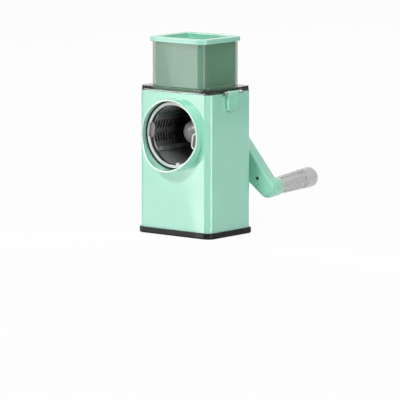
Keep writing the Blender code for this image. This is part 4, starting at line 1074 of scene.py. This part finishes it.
class GRATER_OT_ring(PieceOperator, Operator):
    """Pale ring in the drum's mouth, with two finger tabs and a lug"""

    bl_idname = "grater.ring"
    bl_label = "Front ring"

    def execute(self, context):
        bore = context.scene.grater_drum.ring_bore
        front = RING_FRONT
        outer = 43.7 * MM
        tip = bore - 8 * MM
        root_radius = bore + 0.45 * MM
        recess_root = bore + 1.6 * MM
        skin = 0.12 * MM
        tab_front = front + 0.6 * MM
        tab_rear = front + 3.6 * MM
        inside = ((1.7, 8.5), (0.9, 8.5), (0.9, 6.8), (0, 6.8), (0, 0.9), (0.3, 0.3), (0.9, 0))
        outside = ((-0.9, 0), (-0.3, 0.3), (0, 0.9), (0, 6.5), (-0.75, 6.5), (-0.75, 3))
        profile = steps(bore, front, inside) + steps(outer, front, outside) + steps(bore, front, ((1.7, 3),))
        ring = lathe("front_ring", profile, 144, closed=True)

        def tip_edge(a, b):
            return abs(a.y - b.y) > 1 * MM and max(a.x, b.x) < tip + 4 * MM

        # The tab floors, and the skin over the left tab, are painted shade: grey on the left, near black on
        # the right
        tabs = ((173.2, 10 * MM, 0.8 * MM, "tab_painted_shade_grey"), (351.2, 11 * MM, 2 * MM, "tab_painted_shade_dark"))
        for number, (turn, half, rim, look) in enumerate(tabs, 1):
            turned = Matrix.Rotation(-radians(turn), 4, "Y")
            root = sqrt(root_radius**2 - half**2)
            tab = prism("tab", tab_outline(tip, root, half, 3.5 * MM), tab_front, tab_rear)
            round_edges(tab, tip_edge, 1.2 * MM)
            round_edges(tab, lambda a, b: max(a.y, b.y) < front + 0.7 * MM, 0.4 * MM, 3)
            combine(ring, place(tab, turned), "UNION", "MANIFOLD")
            outline = tab_outline(tip + rim, recess_root, half - rim, 2.5 * MM)
            recess = prism("recess", outline, front - 0.002, front + 1.8 * MM)
            combine(ring, place(recess, turned), "DIFFERENCE", "MANIFOLD")
            inlay = prism(f"tab_painted_shade_floor_{number}", outline, front + 1.6 * MM, front + 1.9 * MM)
            place(inlay, DRUM_FRAME @ turned)
            if number == 1:
                edge = tab_outline(tip - skin, root, half + skin, 3.5 * MM)
                cover = prism("tab_painted_shade_cover", edge, tab_front - skin, tab_rear + skin)
                round_edges(cover, tip_edge, 1.2 * MM)
                combine(cover, prism("room", outline, front - 0.002, front + 1.8 * MM))
                place(cover, DRUM_FRAME @ turned)
                finish(cover, look, "grey_plastic", "drum")
            finish(inlay, look, "grey_plastic", "drum")
        lug = block("lug", (bore - 2.6 * MM, tab_front, -2.5 * MM), (root_radius, tab_rear, 2.5 * MM))
        round_edges(lug, everything, 0.4 * MM, 3)
        combine(ring, place(lug, Matrix.Rotation(-radians(281), 4, "Y")), "UNION", "MANIFOLD")
        place(ring, DRUM_FRAME)
        finish(ring, "pale_plastic", "pale_plastic", "drum", "drum_front_ring")
        band = steps(bore, front, ((-0.15, 1.2), (0.1, 1.2), (0.1, 6.8), (-0.15, 6.8)))
        lining = place(lathe("sleeve_lining", band, 144, closed=True), DRUM_FRAME)
        finish(lining, "sleeve_grey", "dark_steel", "drum")
        bulge = ((0.8, 8.4), (-0.6, 8.3), (-0.9, 7.9), (-0.9, 7.4), (-0.6, 7.0), (0.8, 6.9))
        bead = lathe("sleeve_bead", steps(bore, front, bulge), 144, closed=True)
        chord = bore * cos(radians(37))
        away = block("away", (chord - 2 * FAR, -FAR, -FAR), (chord, FAR, FAR))
        combine(bead, place(away, Matrix.Rotation(-radians(179), 4, "Y")))
        place(bead, DRUM_FRAME)
        finish(bead, "pale_plastic", "pale_plastic", "drum")
        return {"FINISHED"}


class GRATER_OT_hub(PieceOperator, Operator):
    """Domed hub and rear disc of the drum"""

    bl_idname = "grater.hub"
    bl_label = "Hub"

    def execute(self, context):
        radius = context.scene.grater_drum.hub_radius
        rear = HUB_HIGH.y
        nose = HUB_LOW.y
        dome = 14 * MM
        base = nose + dome
        disc = 30.5 * MM
        profile = [(0.4 * MM, nose)]
        for step in range(1, 16):
            turn = pi / 2 * step / 16
            profile.append((radius * sin(turn), base - dome * cos(turn)))
        profile.append((radius, base))
        profile += steps(radius, disc, ((0, -2), (0.6, -0.6), (2, 0)))
        profile += steps(0, disc, ((40.9, 0), (41.2, 0.3)))
        profile += steps(0, 0, ((41.2, 34.8), (42.3, 34.8)))
        profile += steps(0, rear, ((42.3, -0.3), (42, 0)))
        profile.append((radius, rear))
        hub = lathe("domed_hub", profile, 96)
        socket = rod("socket", 4.7 * MM, rear - 28 * MM, rear + PAST, sides=6)
        combine(hub, place(socket, Matrix.Rotation(radians(30), 4, "Y")))
        place(hub, DRUM_FRAME)
        finish(hub, "hub_plastic_painted_shade", "grey_plastic", "drum", "drum_rear_hub", angle=40)
        return {"FINISHED"}


# Crank and grip

def arm_hull(name, hub, end, start, stop):
    """The arm's outline between its two round ends, as the hull of two discs."""
    body = rod(name, hub, start, stop, sides=96)
    tail = rod("tail", end, start, stop, (CRANK_LENGTH, -1 * MM), 64)
    join([body, tail])
    pick(body, "VERT", everything)
    bpy.ops.mesh.convex_hull()
    select_whole_mesh()
    bpy.ops.mesh.dissolve_limited(angle_limit=radians(1))
    to_object_mode()
    return body


class GRATER_OT_crank(PieceOperator, Operator):
    """Hollow crank arm with the grip's boss, and the plate that closes it"""

    bl_idname = "grater.crank"
    bl_label = "Crank arm"

    def execute(self, context):
        sizes = context.scene.grater_crank
        hub = sizes.hub_radius
        end = sizes.end_radius
        depth = sizes.depth
        boss_radius = sizes.boss_radius
        reach = CRANK_LENGTH
        arm = arm_hull("arm", hub, end, 0, depth)
        round_edges(arm, lambda a, b: abs(a.y - b.y) < TINY, sizes.edge, 5)
        combine(arm, arm_hull("recess", hub - 2.2 * MM, end - 2.2 * MM, -0.005, 2.5 * MM))
        combine(arm, arm_hull("hollow", hub - 4 * MM, end - 4 * MM, 2.2 * MM, depth - 2.4 * MM))
        sides = [(boss_radius, 3.6 * MM), (boss_radius, 21.7 * MM)]
        boss = lathe("boss", steps(0, 0, ((12, 3),)) + sides + steps(0, 0, ((12.15, 22.5), (11.6, 22.9))), 72)
        combine(arm, place(boss, Matrix.Translation((reach, 0, 0))), "UNION")
        spots = [(reach - distance, -(reach - distance) / reach * MM) for distance in COVER_POSTS]
        for spot in spots:
            combine(arm, rod("post", 5 * MM, 2.5 * MM, depth - 1.2 * MM, spot), "UNION")
            drill(arm, SHANK, 0, 9.8 * MM, spot, 24)
        drill(arm, GRIP_BORE, 8.6 * MM, 23.2 * MM, (reach, 0), 48)
        place(arm, ARM_FRAME)
        combine(arm, rod("socket", 14 * MM, 46.5 * MM, 63.1 * MM, DRUM_CENTRE, 64), "UNION")
        half = 4.15 * MM
        square = block("square", (-half, 0.036, AXIS_HEIGHT - half), (half, 56.5 * MM, AXIS_HEIGHT + half))
        combine(arm, square)
        drill(arm, 2.2 * MM, 0.056, 0.062, DRUM_CENTRE)
        drill(arm, 5.2 * MM, 58.5 * MM, 61.2 * MM, DRUM_CENTRE, 48)
        drill(arm, 9.3 * MM, 61.2 * MM, 0.09, DRUM_CENTRE, 64)
        cover = arm_hull("cover_plate", hub - 2.5 * MM, end - 2.5 * MM, 0, 2.2 * MM)
        round_edges(cover, lambda a, b: max(a.y, b.y) < TINY, 0.4 * MM, 3)
        for spot in spots:
            drill(cover, 2.75 * MM, -PAST, 1.1 * MM, spot)
            drill(cover, SHANK, 0, 0.005, spot, 24)
        place(cover, ARM_FRAME)
        drill(cover, 14.3 * MM, 0.03, 0.07, DRUM_CENTRE, 64)
        finish(arm, "mint_plastic", "mint_plastic", "drum", "crank_arm")
        finish(cover, "mint_plastic", "mint_plastic", "drum", "crank_cover")
        cap = lathe("hub_cap", steps(0, 0, ((9, 61.5), (9, 64.1), (8.75, 64.65), (8.2, 64.9))))
        place(cap, DRUM_FRAME)
        finish(cap, "mint_plastic", "mint_plastic", "drum", "screw_cap")
        return {"FINISHED"}


class GRATER_OT_grip(PieceOperator, Operator):
    """Fluted grip and its smooth cap"""

    bl_idname = "grater.grip"
    bl_label = "Grip"

    def execute(self, context):
        sizes = context.scene.grater_crank
        start = 23.4 * MM
        end = start + sizes.grip_length
        small = 11.5 * MM
        large = 12.95 * MM
        profile = steps(small, start, ((-0.8, 0), (-0.2, 0.25), (0, 0.9)))
        sleeve = lathe("grip_sleeve", profile + steps(large, end, ((0, -0.5), (-0.4, 0))), 128)
        side = 3.3 * MM
        height = 3 * MM
        flute = block("flute", (-side, start + 2.4 * MM, -height), (side, end - 2.4 * MM, height))
        round_edges(flute, lambda a, b: max(a.z, b.z) < 0 and abs(a.x - b.x) < TINY, 0.9 * MM)
        slope = Matrix.Rotation(atan2(large - small, sizes.grip_length), 4, "X")
        rise = (small + large) / 2 + height - sizes.flute_depth
        middle = (start + end) / 2
        place(flute, Matrix.Translation((0, middle, rise)) @ slope @ Matrix.Translation((0, -middle, 0)))
        cutters = []
        for number in range(sizes.flutes):
            angle = radians(90 - 35 - 22.5 + 360 / sizes.flutes * number)
            cutters.append(copy_of(flute, f"flute_{number}", Matrix.Rotation(angle, 4, "Y")))
        bpy.data.objects.remove(flute, do_unlink=True)
        combine(sleeve, join(cutters))
        drill(sleeve, GRIP_BORE, 0.01, 0.09, sides=48)
        drill(sleeve, 5.8 * MM, end - 3.6 * MM, 0.09, sides=48)
        place(sleeve, GRIP_FRAME)
        finish(sleeve, "grey_plastic", "grey_plastic", "grip", "grip", angle=18)
        cap_start = end + GAP
        cap_end = cap_start + 23.8 * MM
        dome = 5.5 * MM
        widest = 13.4 * MM
        profile = steps(large, cap_start, ((-0.5, 0), (-0.12, 0.15), (0, 0.5)))
        profile.append((widest - 0.1 * MM, cap_end - 3 * dome))
        for step in range(11):
            turn = pi / 2 * step / 10
            profile.append((widest - dome * (1 - cos(turn)), cap_end - dome + dome * sin(turn)))
        profile.append((0.3 * MM, cap_end))
        cap = place(lathe("grip_end", profile, 96), GRIP_FRAME)
        finish(cap, "grey_plastic", "grey_plastic", "grip", "grip_cap", angle=40)
        return {"FINISHED"}


# Fasteners

# Packed screws as (name, count, reach of the cross, look, slot, body)
SCREWS = (
    ("barrel_screw", 3, 1.6 * MM, "screw_steel", "steel", "housing"),
    ("base_screw", 4, 1.9 * MM, "screw_steel", "steel", "housing"),
    ("cover_screw", 2, 1.5 * MM, "dark_screw_steel", "dark_steel", "drum"),
)
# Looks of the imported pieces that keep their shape, by the start of their names
NODE_LOOKS = (
    ("rear_bush", "pale_plastic"),
    ("thrust_washer", "pale_plastic"),
    ("base_plate", "mint_plastic"),
    ("cover_screw", "dark_screw_steel"),
    ("seam_", "seam_steel_painted_shade"),
)
PLAIN_LOOK = "screw_steel"


def middle_of(points, axis):
    return (min(point[axis] for point in points) + max(point[axis] for point in points)) / 2


def head_of(name):
    """The middle of a packed screw's head, with Y pointing out of it."""
    if name.startswith("cover"):
        tilted = ARM_FRAME.inverted()
        points = [tilted @ vertex.co for vertex in NODES[name].data.vertices]
        spot = (middle_of(points, 0), min(point.y for point in points), middle_of(points, 2))
        return ARM_FRAME @ Matrix.Translation(spot) @ Matrix.Rotation(pi, 4, "X")
    low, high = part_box(name)
    x = middle_of((low, high), 0)
    if name.startswith("base"):
        return Matrix.Translation((x, middle_of((low, high), 1), low.z)) @ Matrix.Rotation(-pi / 2, 4, "X")
    return Matrix.Translation((x, high.y, middle_of((low, high), 2)))


def cross_screw(node, reach, look, slot, body):
    """A copy of a packed screw with a cross recess in its head."""
    spot = head_of(node)
    screw = copy_of(NODES[node], f"{node}_driven")
    pick(screw, "VERT", everything)
    bpy.ops.mesh.remove_doubles(threshold=TINY)
    to_object_mode()
    for turn in (45, 135):
        slit = block("slit", (-reach, -0.9 * MM, -0.38 * MM), (reach, 1 * MM, 0.38 * MM))
        pick(slit, "FACE", lambda centre, normal: normal.y < -0.9)
        bpy.ops.transform.resize(value=(0.6, 1, 0.6))
        to_object_mode()
        combine(screw, place(slit, spot @ Matrix.Rotation(radians(turn), 4, "Y")))
    finish(screw, look, slot, body, node, angle=30)


class GRATER_OT_fasteners(PieceOperator, Operator):
    """Screws with cross recesses, pins, bush and the hidden shaft pieces"""

    bl_idname = "grater.fasteners"
    bl_label = "Fasteners"

    def execute(self, context):
        for kind, count, *made in SCREWS:
            for number in range(1, count + 1):
                cross_screw(f"{kind}_{number}", *made)
        for name in NODES:
            dress_node(name, next((look for start, look in NODE_LOOKS if name.startswith(start)), PLAIN_LOOK))
        return {"FINISHED"}


OPERATORS = (
    GRATER_OT_stage,
    GRATER_OT_casing,
    GRATER_OT_collar,
    GRATER_OT_foot,
    GRATER_OT_hopper,
    GRATER_OT_pusher,
    GRATER_OT_clips,
    GRATER_OT_blade,
    GRATER_OT_ring,
    GRATER_OT_hub,
    GRATER_OT_crank,
    GRATER_OT_grip,
    GRATER_OT_fasteners,
)

GROUPS = (
    ("grater_casing", GRATER_PG_casing),
    ("grater_drum", GRATER_PG_drum),
    ("grater_hopper", GRATER_PG_hopper),
    ("grater_crank", GRATER_PG_crank),
    ("grater_finish", GRATER_PG_finish),
)


class GRATER_PT_panel(Panel):
    """Sizes, colours and pieces of the drum grater"""

    bl_idname = "GRATER_PT_panel"
    bl_label = "Drum Grater"
    bl_space_type = "VIEW_3D"
    bl_region_type = "UI"
    bl_category = "Grater"

    def draw(self, context):
        column = self.layout.column()
        for operator in OPERATORS:
            column.operator(operator.bl_idname)
        for attribute, group in GROUPS:
            box = self.layout.box()
            for name in group.__annotations__:
                box.prop(getattr(context.scene, attribute), name)


def register():
    for attribute, group in GROUPS:
        bpy.utils.register_class(group)
        setattr(bpy.types.Scene, attribute, PointerProperty(type=group))
    for operator in OPERATORS:
        bpy.utils.register_class(operator)
    bpy.utils.register_class(GRATER_PT_panel)


def unregister():
    bpy.utils.unregister_class(GRATER_PT_panel)
    for operator in reversed(OPERATORS):
        bpy.utils.unregister_class(operator)
    for attribute, group in reversed(GROUPS):
        delattr(bpy.types.Scene, attribute)
        bpy.utils.unregister_class(group)


def main():
    register()
    for operator in OPERATORS:
        family, name = operator.bl_idname.split(".")
        getattr(getattr(bpy.ops, family), name)()


if __name__ == "__main__":
    main()
